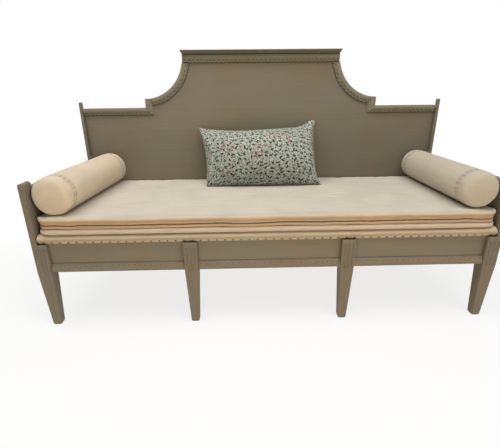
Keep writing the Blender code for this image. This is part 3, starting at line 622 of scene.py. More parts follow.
def leaf_height(along, across, relief, dark):
    """(height, painted shade) of the carving: one round leaf tip with a sunk eye per step, over a low line at
    the inner edge. along counts leaves, across runs from the outer to the inner edge. Painted shade, with
    some dark wax, darkens the eye and the gaps between the leaves, and paints a shadow line along the inner
    edge."""
    plain = section_height(across)
    if across < LEAF_START:
        return plain, 0.0
    if across > LEAF_LINE:
        return plain - 0.20 * relief, dark
    reach = (across - LEAF_START) / LEAF_REACH
    off = abs((along % 1.0) - 0.5)
    tip = max(0.0, reach - 0.45) / 0.55
    half = 0.46 * math.sqrt(max(0.0, 1.0 - 0.80 * tip * tip))
    between = clamp((off - half) / 0.10 + 0.45) * min(1.0, reach / 0.35)
    eye = math.exp(-((off / 0.17) ** 2) - ((reach - 0.56) / 0.19) ** 2)
    leaf = plain * (1.0 + 0.16 * reach * reach) - 0.30 * relief * eye
    sunk = between * relief * (0.12 + 0.55 * tip)
    hollow = max(0.92 * eye ** 1.5, between * (0.06 + 0.40 * tip))
    return leaf + (0.10 - leaf) * sunk, min(1.0, hollow * dark)


def carved_run(carving, length, size, mitres=(0, 0), bend=0.0, relief=1.0, dark=0.80):
    """One carved run in its own frame: X along, Y inward from the outer edge, Z out of the face. A mitre
    lengthens the inner edge by the width, and bend curls the run round a centre outside its outer edge."""
    width, depth = size
    line = length if not bend else length * (bend + width / 2) / bend
    leaves = max(2, round(line / carving.leaf))
    pitch = length / leaves
    before, after = (math.ceil(width / pitch) if m else 0 for m in mitres)
    count = leaves + before + after
    points = [(0.0, 0.0)] + [(a * width, depth) for a in ACROSS] + [(width, 0.0)]
    bm = drawn_run(points, count * pitch, count * carving.columns)
    layer = bm.verts.layers.float.new("hollow")
    bmesh.ops.translate(bm, verts=bm.verts, vec=(-before * pitch, 0.0, 0.0))
    for vert in bm.verts:
        if vert.co.z > depth / 2:
            # Painted shade: the mask, set by dark, darkens the carving's recesses and the line at its inner
            # edge
            height, vert[layer] = leaf_height(vert.co.x / pitch, vert.co.y / width, relief, dark)
            vert.co.z = depth * height
    if mitres[0]:
        trim(bm, (0, 0, 0), (-1, -1, 0))
    if mitres[1]:
        trim(bm, (length, 0, 0), (1, -1, 0))
    if bend:
        for vert in bm.verts:
            angle, radius = vert.co.x / bend, bend + vert.co.y
            vert.co.x, vert.co.y = radius * math.sin(angle), radius * math.cos(angle)
    return bm


def set_run(bm, start, along, inward):
    along, inward = Vector(along), Vector(inward)
    turn = Matrix((along, inward, along.cross(inward))).transposed().to_4x4()
    bmesh.ops.transform(bm, matrix=Matrix.Translation(start) @ turn, verts=bm.verts)
    return bm


def outer_x(box, side):
    return box[0].x if side < 0 else box[1].x


class SOFA_OT_carve_mouldings(bpy.types.Operator):
    """Carve the leaf-tip mouldings round the back, along the apron and on the ends"""

    bl_idname = "sofa.carve_mouldings"
    bl_label = "Carve the mouldings"

    # The low parts are rubbed flatter than the back and get lighter painted shade, and the steps are nearly
    # plain and nearly unshaded
    LOW, STEP = {"relief": 0.55, "dark": 0.40}, {"relief": 0.25, "dark": 0.20}

    def execute(self, context):
        carving = self.carving = context.scene.sofa_carving
        self.size = (carving.back_width, carving.back_depth)
        self.finishes = {
            # Painted light and shade: paler copies of the coat for the crest's mouldings, the cornice and the
            # steps, and a darker copy for the apron mouldings
            "x": paint_material(context, "carved_paint_lengthwise", LENGTHWISE, True, (1.08, 1.17, 1.18)),
            "y": paint_material(context, "carved_paint_crosswise", CROSSWISE, True),
            "z": paint_material(context, "carved_paint_upright", UPRIGHT, True, (1.04, 1.06, 1.06)),
            "low": paint_material(context, "carved_paint_apron", LENGTHWISE, True, (0.96, 0.94, 0.94)),
        }
        low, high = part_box("frieze_moulding")
        run = carved_run(carving, high.x - low.x, self.size)
        self.put(set_run(run, high, (-1, 0, 0), (0, 0, -1)), "frieze_moulding", "x")
        for side, name in SIDES:
            self.step_and_shoulder(side, name)
            self.cove(side, name)
        self.apron_and_ends()
        return {"FINISHED"}

    def put(self, bm, node, way):
        finish_piece(bm, "carved_" + node, self.finishes[way], "frame", [node], 55.0)

    def step_and_shoulder(self, side, name):
        width, node = self.size[0], f"{name}_step_moulding"
        low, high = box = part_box(node)
        start = (outer_x(box, side), high.y, high.z if side < 0 else low.z + width)
        mitres = (0, 1) if side < 0 else (1, 0)
        run = carved_run(self.carving, high.z - low.z - width, self.size, mitres, **self.STEP)
        self.put(set_run(run, start, (0, 0, side), (-side, 0, 0)), node, "z")
        node = f"{name}_shoulder_moulding"
        low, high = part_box(node)
        start = (high.x - width if side < 0 else high.x, high.y, high.z)
        run = carved_run(self.carving, high.x - low.x - width, self.size, mitres[::-1])
        self.put(set_run(run, start, (-1, 0, 0), (0, 0, -1)), node, "x")

    def cove(self, side, name):
        node = f"{name}_cove_moulding"
        box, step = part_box(node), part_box(f"{name}_step_moulding")
        crest, face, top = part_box("back_panel")[1].z, box[1].y, box[1].z
        centre = abs(outer_x(step, side))
        radius = crest - step[1].z
        bm = carved_run(self.carving, radius * math.pi / 2, self.size, bend=radius)
        for vert in bm.verts:
            x, y, z = vert.co
            vert.co = (side * (centre - x), face - z, crest - y)
        trim(bm, (0, 0, top), (0, 0, 1))
        trim(bm, (outer_x(box, side), 0, 0), (side, 0, 0))
        self.put(bm, node, "x")

    def apron_and_ends(self):
        carving = self.carving
        size = (carving.apron_width, carving.apron_depth)
        for node in ("left_apron_moulding", "centre_apron_moulding", "right_apron_moulding"):
            low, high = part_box(node)
            run = carved_run(carving, high.x - low.x, size, **self.LOW)
            self.put(set_run(run, (low.x, high.y, low.z), (1, 0, 0), (0, 0, 1)), node, "low")
        for side, name in SIDES:
            for node, up in ((f"{name}_end_moulding", 1), (f"{name}_arm_moulding", -1)):
                low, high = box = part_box(node)
                run = carved_run(carving, high.y - low.y, (high.z - low.z, high.x - low.x), **self.LOW)
                way = side * up
                start = (outer_x(box, -side), low.y if way > 0 else high.y, low.z if up > 0 else high.z)
                self.put(set_run(run, start, (0, way, 0), (0, 0, up)), node, "y")


class SOFA_OT_shape_cornice(bpy.types.Operator):
    """Shape the flared cornice on the crest"""

    bl_idname = "sofa.shape_cornice"
    bl_label = "Shape the cornice"

    # The section as (share of the height, share of the overhang)
    PROFILE = ((0.004, -0.26), (0.19, -0.26), (0.20, 0.02), (0.25, 0.06), (0.42, 0.31), (0.60, 0.58),
               (0.78, 0.86), (0.80, 0.96), (0.82, 1.0), (0.95, 1.0), (0.985, 0.985), (1.0, 0.95))

    def execute(self, context):
        low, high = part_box("cornice")
        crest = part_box("frieze_moulding")
        front, back, seat_x = crest[0].y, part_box("back_panel")[1].y, crest[1].x
        bm = bmesh.new()
        for vert in bmesh.ops.create_grid(bm, x_segments=1, y_segments=1, size=1.0)["verts"]:
            vert.co = (vert.co.x * seat_x, front if vert.co.y < 0 else back, low.z)
        face = bm.faces[:][0]
        hollow = bm.verts.layers.float.new("hollow")
        for height, flare in self.PROFILE:
            made = bmesh.ops.extrude_face_region(bm, geom=[face])
            old = face
            face = next(g for g in made["geom"] if isinstance(g, bmesh.types.BMFace))
            if old.is_valid and old.verts[0].co.z > low.z + WELD:
                bm.faces.remove(old)
            for vert in face.verts:
                ahead = vert.co.y < (front + back) / 2
                y = front + flare * (low.y - front) if ahead else back + flare * (high.y - back)
                x = math.copysign(seat_x + flare * (high.x - seat_x), vert.co.x)
                vert.co = (x, y, low.z + height * (high.z - low.z))
                # Painted shade: the set-back strip under the cornice is fully darkened, its down-sloping face
                # partly and its top a little
                vert[hollow] = 1.0 if flare < 0 else 0.32 if flare < 0.9 else 0.12
        finish = bpy.data.materials["carved_paint_lengthwise"]
        finish_piece(bm, "flared_cornice", finish, "frame", ["cornice"], 50.0)
        return {"FINISHED"}


# Upholstery


class SOFA_OT_cover_deck(bpy.types.Operator):
    """Cover the fixed seat: a stuffed front roll, pulled down and tacked along the rail"""

    bl_idname = "sofa.cover_deck"
    bl_label = "Cover the deck"

    # The roll's section as (out from the rail's face, down from the top), over and under its nose
    OVER = ((-0.030, 0.0003), (-0.018, 0.0008), (-0.008, 0.0016), (0.0, 0.0028), (0.006, 0.0048),
            (0.0110, 0.0078), (0.0146, 0.0112), (0.0166, 0.0146))
    UNDER = ((0.0166, 0.0206), (0.0146, 0.0236), (0.0117, 0.0264), (0.0088, 0.0290), (0.0064, 0.0314),
             (0.0048, 0.0335), (0.0040, 0.0352), (0.0036, 0.0366), (0.0032, 0.0378))
    SEAT, NOSE_DROP, LIP_OUT, CLEAR = (0.10, -0.10, -0.22, -0.27), 0.0176, 0.0022, 0.0003
    PINCH, LUMP, PUFF, LIFT, SINK = 0.0022, 0.0011, 0.0012, 0.0013, 0.0004
    TACK_RADIUS, TACK_FLAT, TACK_OUT, TACK_UP, WANDER = 0.0040, 0.62, 0.0036, 0.0066, 0.0012

    def execute(self, context):
        linen = context.scene.sofa_linen
        low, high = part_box("seat_deck")
        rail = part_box("front_rail")
        face, rail_top, top = rail[0].y - self.CLEAR, rail[1].z + self.CLEAR, high.z
        over, under = ([(face - out, top - down) for out, down in half] for half in (self.OVER, self.UNDER))
        section = [(high.y, rail_top), (high.y, top), *((y, top) for y in self.SEAT), *over,
                   (low.y, top - self.NOSE_DROP), *under, (face - self.LIP_OUT, low.z), (face, low.z),
                   (face, rail_top)]
        width = high.x - low.x
        tacks = round(width / linen.tack)
        bm = drawn_run(section, width, tacks * 8)
        self.pull_down(bm, low, high, face, width / tacks)
        bmesh.ops.recalc_face_normals(bm, faces=bm.faces)
        box_cloth_map(bm)
        finish = linen_material(context, "deck_linen", linen.deck, 0.35, linen.deck_shade)
        deck = finish_piece(bm, "stuffed_deck", finish, "frame", ["seat_deck"], 70.0)
        bm = self.tacks(low, face, width / tacks, tacks)
        finish_piece(bm, "deck_tacks", tack_material(), "frame", [], 60.0)
        return {"FINISHED"}

    def pull_down(self, bm, low, high, face, pull):
        """Pinches the cloth at each tack and lets it puff out between two tacks."""
        nose, top, lip = low.y, high.z, low.z
        border_and_shade = bm.verts.layers.float.new("border_and_shade")
        groove_shade = bm.verts.layers.float.new("groove_shade")
        for vert in bm.verts:
            s, y, z = vert.co
            beat = swing(2 * math.pi * (s / pull - 0.5))
            lump = noise((s * 9.0, z * 20.0, 3.0))
            if y < face + 0.02 and z > lip + 1e-5 or y < face - 0.001:
                down = clamp((top - z) / (top - lip))
                pinch = beat ** 3 * bell(down, 0.93, 0.16)
                out = max(0.0, face - y)
                puff = self.PUFF * (1.0 - beat) * bell(down, 0.72, 0.2)
                y += self.PINCH * pinch * min(1.0, out / 0.003)
                y += self.LUMP * lump * min(1.0, out / 0.010) - puff * min(1.0, out / 0.004)
                if down > 0.86:
                    z += self.LIFT * beat ** 2 * (down - 0.86) / 0.14
                y = max(nose - 0.0002, y)
                # Painted light and shade: the cloth goes from the paler deck colour at the top of the roll to
                # the darker shade colour towards the tacks, and painted shade darkens the dimple at each tack
                # and a band halfway down the front
                vert[border_and_shade] = clamp((down - 0.12) / 0.25)
                vert[groove_shade] = 0.30 * pinch * max(0.0, (down - 0.7) / 0.3) + 0.24 * bell(down, 0.56, 0.14)
            elif z > top - 0.001:
                z -= self.SINK + self.SINK * abs(lump)
            vert.co = (s + low.x, y, z)

    def tacks(self, low, face, pull, count):
        """Flattened half balls, one at each pinch, not quite in line."""
        bm = bmesh.new()
        turn = Matrix.Rotation(math.pi / 2, 4, "X") @ Matrix.Diagonal((1.0, 1.0, self.TACK_FLAT, 1.0))
        for i in range(count):
            ball = bmesh.ops.create_uvsphere(bm, u_segments=8, v_segments=6, radius=self.TACK_RADIUS)
            bmesh.ops.delete(bm, geom=[v for v in ball["verts"] if v.co.z < -1e-5], context="VERTS")
            head = [v for v in ball["verts"] if v.is_valid]
            shift = self.WANDER * noise((i * 1.7, 5.0, 0.0))
            x, z = low.x + (i + 0.5) * pull + shift, low.z + self.TACK_UP + 0.4 * shift
            move = Matrix.Translation((x, face - self.TACK_OUT, z)) @ turn
            bmesh.ops.transform(bm, matrix=move, verts=head)
        bmesh.ops.holes_fill(bm, edges=open_edges(bm))
        return bm


class SOFA_OT_stuff_mattress(bpy.types.Operator):
    """Stuff the loose mattress: a soft top, rolled edges and stitched grooves round its side"""

    bl_idname = "sofa.stuff_mattress"
    bl_label = "Stuff the mattress"

    # The side's section as (in from the outermost line, height), from the top roll down to the sole
    SIDE = (
        (0.0045, 0.0652), (0.0016, 0.0628), (0.0004, 0.0588), (0.0012, 0.0548), (0.0034, 0.0517),
        (0.0060, 0.0492), (0.0056, 0.0462), (0.0050, 0.0426), (0.0058, 0.0392), (0.0090, 0.0369),
        (0.0122, 0.0355), (0.0088, 0.0341), (0.0054, 0.0318), (0.0042, 0.0284), (0.0052, 0.0250),
        (0.0080, 0.0229), (0.0104, 0.0215), (0.0074, 0.0200), (0.0034, 0.0174), (0.0010, 0.0138),
        (0.0004, 0.0094), (0.0007, 0.0052), (0.0026, 0.0022), (0.0068, 0.0006), (0.0130, 0.0))
    CORNER, INSET = 0.045, 0.0085

    def execute(self, context):
        linen = context.scene.sofa_linen
        low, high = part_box("mattress")
        half = Vector(((high.x - low.x) / 2, (high.y - low.y) / 2))
        middle = Vector(((high.x + low.x) / 2, (high.y + low.y) / 2, low.z))
        bm = self.cover(half, linen.stitch)
        bmesh.ops.translate(bm, verts=bm.verts, vec=middle)
        bmesh.ops.recalc_face_normals(bm, faces=bm.faces)
        bm.verts.index_update()
        pins = [v.index for v in bm.verts if v.co.z < middle.z + 0.0640]
        obj = loose_object(bm, "linen_mattress")
        swell(obj, pins, pressure=1.2, frames=20, cap=0.0045, shrink=-0.008, bending=0.15)
        subdivided(obj)
        bm = bmesh.new()
        bm.from_mesh(obj.data)
        for vert in bm.verts:
            vert.co.z = min(vert.co.z, high.z)
            vert.co.z += self.crease(vert.co, middle, half)
            vert.co.z = max(vert.co.z, low.z)
        box_cloth_map(bm)
        bm.to_mesh(obj.data)
        bm.free()
        dress(obj, linen_material(context, "mattress_linen", linen.cream, 0.50, linen.border_and_shade))
        stand_in(obj, "mattress", ["mattress"])
        return {"FINISHED"}

    def cover(self, half, stitch):
        """The slack cover round its own middle: a top, a side drawn down ring by ring, and a sole."""
        top, radius = half - Vector((self.INSET, self.INSET)), self.CORNER - self.INSET
        bm = bmesh.new()
        border_and_shade = bm.verts.layers.float.new("border_and_shade")
        groove_shade = bm.verts.layers.float.new("groove_shade")
        made = bmesh.ops.create_grid(bm, x_segments=126, y_segments=46, size=1.0)["verts"]
        for vert in made:
            x, y = vert.co.x * (half.x - self.INSET), vert.co.y * (half.y - self.INSET)
            vert.co = self.plan(x, y, top, radius)
        rim = [v for v in bm.verts if v.is_boundary]
        outward = {v: self.outward(v.co, top, radius) for v in rim}
        for vert in made:
            inset = self.inset(vert.co.x, vert.co.y, half)
            vert.co.z = self.top_height(inset)
            # The top roll is tinted towards the tan cloth, and painted shade darkens the shallow valley
            # behind it
            vert[border_and_shade] = 0.38 * bell(max(inset, 0.007), 0.007, 0.006)
            vert[groove_shade] = 0.10 * bell(inset, 0.027, 0.006)
        edges = open_edges(bm)
        first = {v: v.co.copy() for v in rim}
        twins = bmesh.ops.duplicate(bm, geom=[*bm.verts, *bm.edges, *bm.faces])["vert_map"]
        sole = {vert: twins[vert] for vert in made}
        ring = {v: v for v in rim}
        for draw, height in self.SIDE:
            made = bmesh.ops.extrude_edge_only(bm, edges=edges)["geom"]
            fresh = {g for g in made if isinstance(g, bmesh.types.BMVert)}
            edges = [g for g in made if isinstance(g, bmesh.types.BMEdge) and set(g.verts) <= fresh]
            below = {}
            for vert in fresh:
                above = next(e.other_vert(vert) for e in vert.link_edges if e.other_vert(vert) not in fresh)
                below[vert] = root = ring[above]
                place = self.side(first[root], outward[root], draw, height, stitch)
                vert.co, vert[border_and_shade], vert[groove_shade] = place
            ring = below
        for twin in sole.values():
            twin.co.z = 0.0
        for vert, root in ring.items():
            sole[root].co = vert.co
        seam = [*ring, *(sole[root] for root in ring.values())]
        bmesh.ops.remove_doubles(bm, verts=seam, dist=WELD)
        return bm

    def plan(self, x, y, half, radius):
        """Rounds the corners of the grid's plan."""
        over = Vector((abs(x) - (half.x - radius), abs(y) - (half.y - radius)))
        if min(over) > 0:
            dx, dy = over / radius
            over = Vector((dx * math.sqrt(1 - dy * dy / 2), dy * math.sqrt(1 - dx * dx / 2))) * radius
            x = math.copysign(half.x - radius + over.x, x)
            y = math.copysign(half.y - radius + over.y, y)
        return Vector((x, y, 0.0))

    def outward(self, co, half, radius):
        over = Vector((abs(co.x) - (half.x - radius), abs(co.y) - (half.y - radius)))
        if min(over) > 1e-6:
            return Vector((math.copysign(over.x, co.x), math.copysign(over.y, co.y), 0.0)).normalized()
        if half.x - abs(co.x) < half.y - abs(co.y):
            return Vector((math.copysign(1.0, co.x), 0.0, 0.0))
        return Vector((0.0, math.copysign(1.0, co.y), 0.0))

    def inset(self, x, y, half):
        """The distance in from the nearest side of the plan."""
        return min(half.x - abs(x), half.y - abs(y))

    def top_height(self, inset):
        """A rolled edge, a shallow valley behind it and a low crown."""
        roll = 0.0672 * bell(inset, 0.011, 0.010)
        crown = 0.0688 - 0.0046 * math.exp(-max(0.0, inset - 0.012) / 0.020)
        return max(crown, min(0.0668, roll))

    def side(self, root, out, draw, height, stitch):
        """(place, share of tan cloth and painted shade, painted shade) of a point of the side, with its waves
        and the pulls of its stitches. The recessed middle band is tanner and darker, and painted shade
        darkens the stitched lines and a line under the top roll.
        """
        s = root.x if abs(out.y) > 0.5 else root.y + 3.0
        wave = noise((s * 6.5, 1.0 + out.x, out.y)) + 0.5 * noise((s * 19.0, 7.0, out.y))
        pull = swing(2 * math.pi * s / stitch)
        deep = max(0.0, (draw - 0.0058) / 0.0064) if 0.012 < height < 0.045 else 0.0
        place = root + out * (self.INSET - draw + 0.0006 * wave * (1 - deep) - 0.0012 * deep * pull)
        low, high = 0.0042 * wave * bell(height, 0.034, 0.018), 0.0016 * wave * bell(height, 0.060, 0.012)
        place.z = height + low + high
        band = min(clamp((0.0570 - height) / 0.0045), clamp((height - 0.0185) / 0.003))
        faint = 1.0 if height > 0.029 else max(0.15, 0.55 + 0.9 * noise((s * 8.0, 4.0, out.y)))
        line = min(1.0, deep * faint * (0.70 + 0.3 * pull))
        return place, 0.40 + 0.60 * band, line + 0.10 * band + 0.16 * bell(height, 0.0505, 0.0022)

    def crease(self, co, middle, half):
        """Long shallow creases along the top."""
        if co.z < middle.z + 0.062:
            return 0.0
        calm = clamp((self.inset(co.x - middle.x, co.y - middle.y, half) - 0.02) / 0.05)
        fold = max(0.0, 1.0 - abs(noise((co.x * 2.6, co.y * 26.0, 2.0))) / 0.12)
        broad = noise((co.x * 4.0, co.y * 6.0, 9.0))
        loose = min(1.0, max(0.1, (0.70 - abs(co.x - middle.x)) / 0.08))
        return calm * loose * (-0.0017 * fold - 0.0008 * (0.5 + 0.5 * broad))


class SOFA_OT_fill_bolsters(bpy.types.Operator):
    """Fill the two loose bolsters, with a corded seam round each end"""

    bl_idname = "sofa.fill_bolsters"
    bl_label = "Fill the bolsters"

    LENGTH, SEAM, TUCK = 0.612, 0.060, 0.0004
    FAR, TURNS = math.radians(2.2), {-1: math.radians(-3.3), 1: math.radians(-1.2)}
    # The end as (share of the radius, in from the end), and the cord as (sunk, off from the seam)
    END = ((0.0, 0.0025), (0.25, 0.0028), (0.48, 0.0036), (0.66, 0.0052), (0.79, 0.0078), (0.88, 0.0115),
           (0.94, 0.0160), (0.975, 0.0215), (0.99, 0.0300))
    CORD = ((0.0006, 0.0060), (0.0014, 0.0032), (-0.0012, 0.0018), (-0.0012, -0.0016), (0.0014, -0.0030),
            (0.0006, -0.0062))
    RINGS, TURN_STEPS = 20, 72

    def execute(self, context):
        linen = context.scene.sofa_linen
        # Both bolsters share one cloth, and the right one's darker copy is painted shade
        finishes = {-1: linen_material(context, "bolster_linen", linen.warm, 0.28),
                    1: linen_material(context, "bolster_linen_shaded", linen.shaded_linen, 0.40)}
        for side, name in SIDES:
            low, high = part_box(f"{name}_bolster")
            radius, half = (high.z - low.z) / 2, self.LENGTH / 2
            bm = self.cover(radius, side)
            bm.verts.index_update()
            seam = [v.index for v in bm.verts if abs(abs(v.co.y) - half + self.SEAM) < 0.0035]
            obj = loose_object(bm, f"{name}_linen_bolster")
            swell(obj, seam, pressure=3.0, frames=20, cap=0.007, shrink=-0.02, bending=0.2)
            subdivided(obj)
            self.pucker_and_map(obj.data, radius, side)
            far = (low + high) / 2 + (half + 0.004) * Vector((math.sin(self.FAR), math.cos(self.FAR), 0.0))
            turn = Matrix.Rotation(self.TURNS[side], 4, "Z")
            obj.data.transform(Matrix.Translation(far) @ turn @ Matrix.Translation((0.0, -half, 0.0)))
            dress(obj, finishes[side])
            stand_in(obj, f"{name}_bolster", [f"{name}_bolster"])
        return {"FINISHED"}

    def cover(self, radius, side):
        """The slack cover round its own middle, with its length along Y."""
        half, rim = self.LENGTH / 2, radius - (0.0005 if side < 0 else 0.0042)
        seam = half - self.SEAM
        profile = [(part * rim, half - inward) for part, inward in self.END]
        profile += [(rim - self.TUCK, half - 0.0420)] + [(rim - sunk, seam + off) for sunk, off in self.CORD]
        body = profile[-1][1]
        profile += [(rim - self.TUCK, body * (1 - i / self.RINGS)) for i in range(1, self.RINGS)]
        full = profile + [(rim - self.TUCK, 0.0)] + [(r, -y) for r, y in reversed(profile)]
        bm = bmesh.new()
        verts = [bm.verts.new((r, y, 0.0)) for r, y in full]
        edges = [bm.edges.new(pair) for pair in zip(verts, verts[1:])]
        bmesh.ops.spin(
            bm, geom=[*verts, *edges], cent=(0, 0, 0), axis=(0, 1, 0), angle=2 * math.pi,
            steps=self.TURN_STEPS, use_merge=True)
        weld(bm, CLOTH_WELD)
        for vert in bm.verts:
            x, y, z = vert.co
            if math.hypot(x, z) > 0.5 * rim:
                lump = 1.0 + 0.0025 * noise((x * 14.0, y * 9.0 + side, z * 14.0))
                vert.co = (x * lump, y, z * lump)
        return bm

    def pucker_and_map(self, mesh, radius, side):
        """Gathers the cloth at the cords, beds the bolster down and lays the cloth map."""
        bm = bmesh.new()
        bm.from_mesh(mesh)
        layer = cloth_layer(bm)
        groove_shade = bm.verts.layers.float.new("groove_shade")
        seam = self.LENGTH / 2 - self.SEAM
        for vert in bm.verts:
            x, y, z = vert.co
            across, turn = math.hypot(x, z), math.atan2(z, x)
            gap = abs(abs(y) - seam)
            if across > 0.6 * radius:
                gather = swing(26 * turn + 4.0 * noise((turn * 2.0, y * 8.0, 0.0)))
                pull = 0.0010 * gather * bell(gap, 0.007, 0.010) * (gap > 0.003)
                fold = 0.0006 * noise((turn * 3.2, y * 6.5, 4.0))
                scale = (across - pull + fold) / across
                vert.co.x, vert.co.z = x * scale, z * scale
                # Painted shade in the gathers beside each cord
                vert[groove_shade] = (0.10 + 0.50 * gather) * bell(gap, 0.0065, 0.0042)
            vert.co.z = max(vert.co.z, -radius)
            vert.co.x = side * min(side * vert.co.x, radius - 0.0006)
        for face in bm.faces:
            flat = abs(face.normal.y) > 0.7
            middle = face.calc_center_median()
            start = math.atan2(middle.z, middle.x)
            for loop in face.loops:
                x, y, z = loop.vert.co
                turn = math.atan2(z, x)
                turn += 2 * math.pi * round((start - turn) / (2 * math.pi))
                loop[layer].uv = (x, z) if flat else (y, turn * radius)
        bm.to_mesh(mesh)
        bm.free()


class SOFA_OT_fill_pillow(bpy.types.Operator):
    """Fill the loose printed pillow that leans on the back"""

    bl_idname = "sofa.fill_pillow"
    bl_label = "Fill the pillow"

    TOP, FOOT, HEIGHT, DEPTH = 0.612, 0.576, 0.343, 0.182
    SKEW, SLOPE, LEAN = 0.026, 0.0195, math.radians(32.5)
    BULGE, SAG, MAP_SHIFT, MAP_STEPS = {-1: 0.112, 1: 0.062}, 0.037, 1.37, 16

    def execute(self, context):
        low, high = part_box("pillow")
        bm = bmesh.new()
        layer = cloth_layer(bm)
        parts = range(self.MAP_STEPS + 1)
        for facing in (-1, 1):
            before = set(bm.faces)
            place = {}
            for vert in bmesh.ops.create_grid(bm, x_segments=78, y_segments=42, size=1.0)["verts"]:
                u, v = vert.co.x, vert.co.y
                along = self.run([self.cover(u * k / self.MAP_STEPS, v, facing) for k in parts])
                up = self.run([self.cover(u, v * k / self.MAP_STEPS, facing) for k in parts])
                shift = 0.0 if facing < 0 else self.MAP_SHIFT
                place[vert] = (math.copysign(along, facing * u) + shift, math.copysign(up, v))
                vert.co = self.cover(u, v, facing)
            for face in set(bm.faces) - before:
                for loop in face.loops:
                    loop[layer].uv = place[loop.vert]
        weld(bm, CLOTH_WELD)
        bm.verts.index_update()
        seam = [v.index for v in bm.verts if abs(v.co.y) < 1e-7]
        obj = loose_object(bm, "printed_pillow")
        swell(obj, seam, pressure=2.6, frames=22, cap=0.008, shrink=-0.012, bending=0.3)
        subdivided(obj)
        points = [v.co for v in obj.data.vertices]
        depth = max(p.y for p in points) - min(p.y for p in points)
        foot = min(p.z for p in points) * math.cos(self.LEAN)
        turn = Euler((-self.LEAN, 0.0, 0.0)).to_matrix().to_4x4()
        obj.data.transform(turn @ Matrix.Diagonal((1.0, self.DEPTH / depth, 1.0, 1.0)))
        points = [v.co for v in obj.data.vertices]
        left, rear = min(p.x for p in points), max(p.y for p in points)
        obj.data.transform(Matrix.Translation((low.x - left, high.y - rear, low.z - foot)))
        for vert in obj.data.vertices:
            vert.co.z = max(vert.co.z, low.z)
        dress(obj, print_material(context))
        stand_in(obj, "pillow", ["pillow"])
        return {"FINISHED"}

    def run(self, points):
        return sum(math.dist(a, b) for a, b in zip(points, points[1:]))

    def cover(self, u, v, facing):
        """A point of the slack cover: ears, one of them rounded, a sagging upper edge, drawn in sides and a
        straight foot."""
        lens = max(0.0, (1 - u * u) ** 0.42 * (1 - v * v) ** (0.46 if v < 0 else 0.82))
        out, rise = max(0.0, (u - 0.90) / 0.10), max(0.0, (v - 0.82) / 0.18)
        if out and rise:
            u = 0.90 + 0.10 * out * math.sqrt(1 - rise * rise / 2)
            v = 0.82 + 0.18 * rise * math.sqrt(1 - out * out / 2)
        half = (self.FOOT + (self.TOP - self.FOOT) * (1 + v) / 2) / 2
        drawn = 0.017 * (1 - v * v) if u < 0 else 0.021 * (1 - abs(v) ** 3) * (1 - 0.2 * v)
        x = u * (half - drawn * abs(u)) - self.SKEW / 2 * v + 0.009 * out * rise
        climb = clamp((u - 0.70) / 0.22)
        sag = self.SAG * (1 - (abs(u) ** 2.2 if u < 0 else 0.87 * climb * climb * (3 - 2 * climb)))
        z = self.HEIGHT / 2 * v + self.SLOPE * u * (1 + v) / 2 - sag * max(0.0, v) ** 1.5
        z += 0.006 * out * rise
        ripple = 0.0022 * noise((u * 3.1, v * 2.3, facing * 4.0)) * lens
        return (x, facing * (self.BULGE[facing] * lens + ripple), z)


# Stage


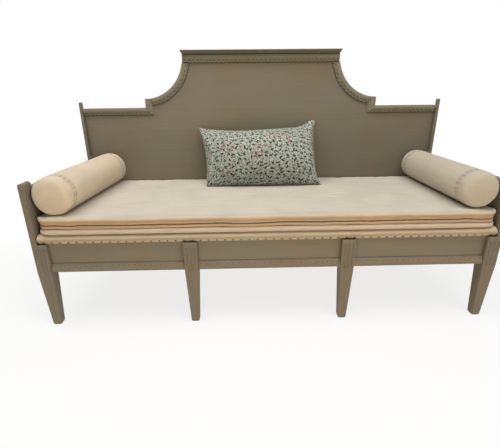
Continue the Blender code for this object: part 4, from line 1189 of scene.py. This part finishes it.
class SOFA_OT_set_stage(bpy.types.Operator):
    """Set the floor, the soft light and the camera"""

    bl_idname = "sofa.set_stage"
    bl_label = "Set the stage"

    WHITE, PAPER, BOUNCE, ROOM = (1.0, 1.0, 1.0), (0.93, 0.93, 0.92), (0.92, 0.82, 0.68), (1.0, 0.955, 0.87)
    # Each lamp's name, place, aim, size, share of the overhead power and tint
    LAMPS = (
        ("overhead", (-0.35, -0.85, 3.4), (0.0, 0.0, 0.4), (4.6, 1.4), 1.12, (1.0, 0.99, 0.965)),
        ("front_right", (9.2, -7.0, 3.6), (0.0, 0.0, 0.4), (4.0, 4.0), 0.85, (1.0, 0.95, 0.88)),
        ("low_front", (0.0, -1.35, 0.06), (0.0, -0.34, 0.32), (2.4, 0.25), 0.060, (1.0, 0.88, 0.72)),
    )
    # The camera's place, its yaw, pitch and roll in degrees, and its sensor's width
    EYE, TURN, SENSOR = (-0.1038, -1.6086, 0.8977), (-1.224, 19.98, -0.602), 36.0

    def execute(self, context):
        stage = context.scene.sofa_stage
        self.floor(stage)
        self.lights(context, stage)
        self.camera(context, stage)
        context.scene.view_settings.view_transform = "Standard"
        return {"FINISHED"}

    def floor(self, stage):
        bm = bmesh.new()
        bmesh.ops.create_grid(bm, x_segments=2, y_segments=2, size=stage.floor)
        obj = loose_object(bm, "floor")
        made, tree = start_material("white_floor")
        made.node_tree.nodes.clear()
        away = tree.vector("LENGTH", tree.stretch(tree.place(), (0.8, 1.4, 1.0)))
        white = tree.times(tree.seen(), tree.ramp(away, 1.0, 1.8, 0.80, 1.0))
        shade = tree.mix(tree.add("LightPath").outputs["Is Camera Ray"], self.BOUNCE, self.PAPER)
        matt = tree.add("BsdfDiffuse", {"Color": shade}).outputs[0]
        glow = tree.add("Emission", {"Color": self.WHITE, "Strength": 1.0}).outputs[0]
        mixed = tree.add("MixShader", {0: white, 1: matt, 2: glow}).outputs[0]
        tree.add("OutputMaterial", {"Surface": mixed})
        obj.data.materials.append(made)

    def lights(self, context, stage):
        world = bpy.data.worlds.new("studio")
        world.use_nodes = True
        world.node_tree.nodes.clear()
        tree = Tree(world.node_tree)
        white = tree.add("Background", {"Color": self.WHITE, "Strength": 1.0}).outputs[0]
        way = tree.add("SeparateXYZ", {0: tree.add("TexCoord").outputs["Generated"]}).outputs
        lit = tree.plus(tree.times(way["X"], 0.45), tree.times(way["Z"], 0.45), 0.70)
        fill = {"Color": self.ROOM, "Strength": tree.times(lit, stage.fill)}
        room = tree.add("Background", fill).outputs[0]
        mixed = tree.add("MixShader", {0: tree.seen(), 1: room, 2: white}).outputs[0]
        tree.add("OutputWorld", {"Surface": mixed})
        context.scene.world = world
        for name, at, aim, size, power, tint in self.LAMPS:
            lamp = bpy.data.lights.new(name, "AREA")
            lamp.shape, lamp.size, lamp.size_y = "RECTANGLE", *size
            lamp.energy, lamp.color = stage.overhead * power, tint
            obj = linked(name, lamp)
            obj.location = at
            obj.rotation_euler = (Vector(aim) - Vector(at)).to_track_quat("-Z", "Y").to_euler()

    def camera(self, context, stage):
        data = bpy.data.cameras.new("photograph")
        data.sensor_width, data.lens = self.SENSOR, stage.lens
        yaw, pitch, roll = (math.radians(a) for a in self.TURN)
        level = math.cos(pitch)
        ahead = Vector((-math.sin(yaw) * level, math.cos(yaw) * level, -math.sin(pitch)))
        right = Vector((math.cos(yaw), math.sin(yaw), 0.0))
        up = right.cross(ahead)
        across = math.cos(roll) * right + math.sin(roll) * up
        upward = math.cos(roll) * up - math.sin(roll) * right
        turn = Matrix((across, upward, -ahead)).transposed().to_4x4()
        turn.translation = self.EYE
        obj = linked("photograph", data)
        obj.matrix_world = turn
        context.scene.camera = obj


# Panel and registration


STEPS = (SOFA_OT_set_stage, SOFA_OT_paint_frame, SOFA_OT_carve_mouldings, SOFA_OT_shape_cornice,
         SOFA_OT_cover_deck, SOFA_OT_stuff_mattress, SOFA_OT_fill_bolsters, SOFA_OT_fill_pillow)
SETTINGS = {"sofa_paint": SofaPaint, "sofa_carving": SofaCarving, "sofa_linen": SofaLinen,
            "sofa_print": SofaPrint, "sofa_stage": SofaStage}


class SOFA_PT_build(bpy.types.Panel):
    """The sofa's building steps and settings"""

    bl_idname = "SOFA_PT_build"
    bl_label = "Gustavian sofa"
    bl_space_type = "VIEW_3D"
    bl_region_type = "UI"
    bl_category = "Sofa"

    def draw(self, context):
        column = self.layout.column()
        for step in STEPS:
            column.operator(step.bl_idname)
        for name, kind in SETTINGS.items():
            column.separator()
            for setting in kind.__annotations__:
                column.prop(getattr(context.scene, name), setting)


def register():
    for kind in (*SETTINGS.values(), *STEPS, SOFA_PT_build):
        bpy.utils.register_class(kind)
    for name, kind in SETTINGS.items():
        setattr(bpy.types.Scene, name, PointerProperty(type=kind))


def unregister():
    for name in SETTINGS:
        delattr(bpy.types.Scene, name)
    for kind in (SOFA_PT_build, *reversed(STEPS), *reversed(SETTINGS.values())):
        bpy.utils.unregister_class(kind)


def main():
    register()
    make_chalk_paint()
    make_linen_weave()
    make_sprig()
    for step in STEPS:
        family, name = step.bl_idname.split(".")
        getattr(getattr(bpy.ops, family), name)()


if __name__ == "__main__":
    main()
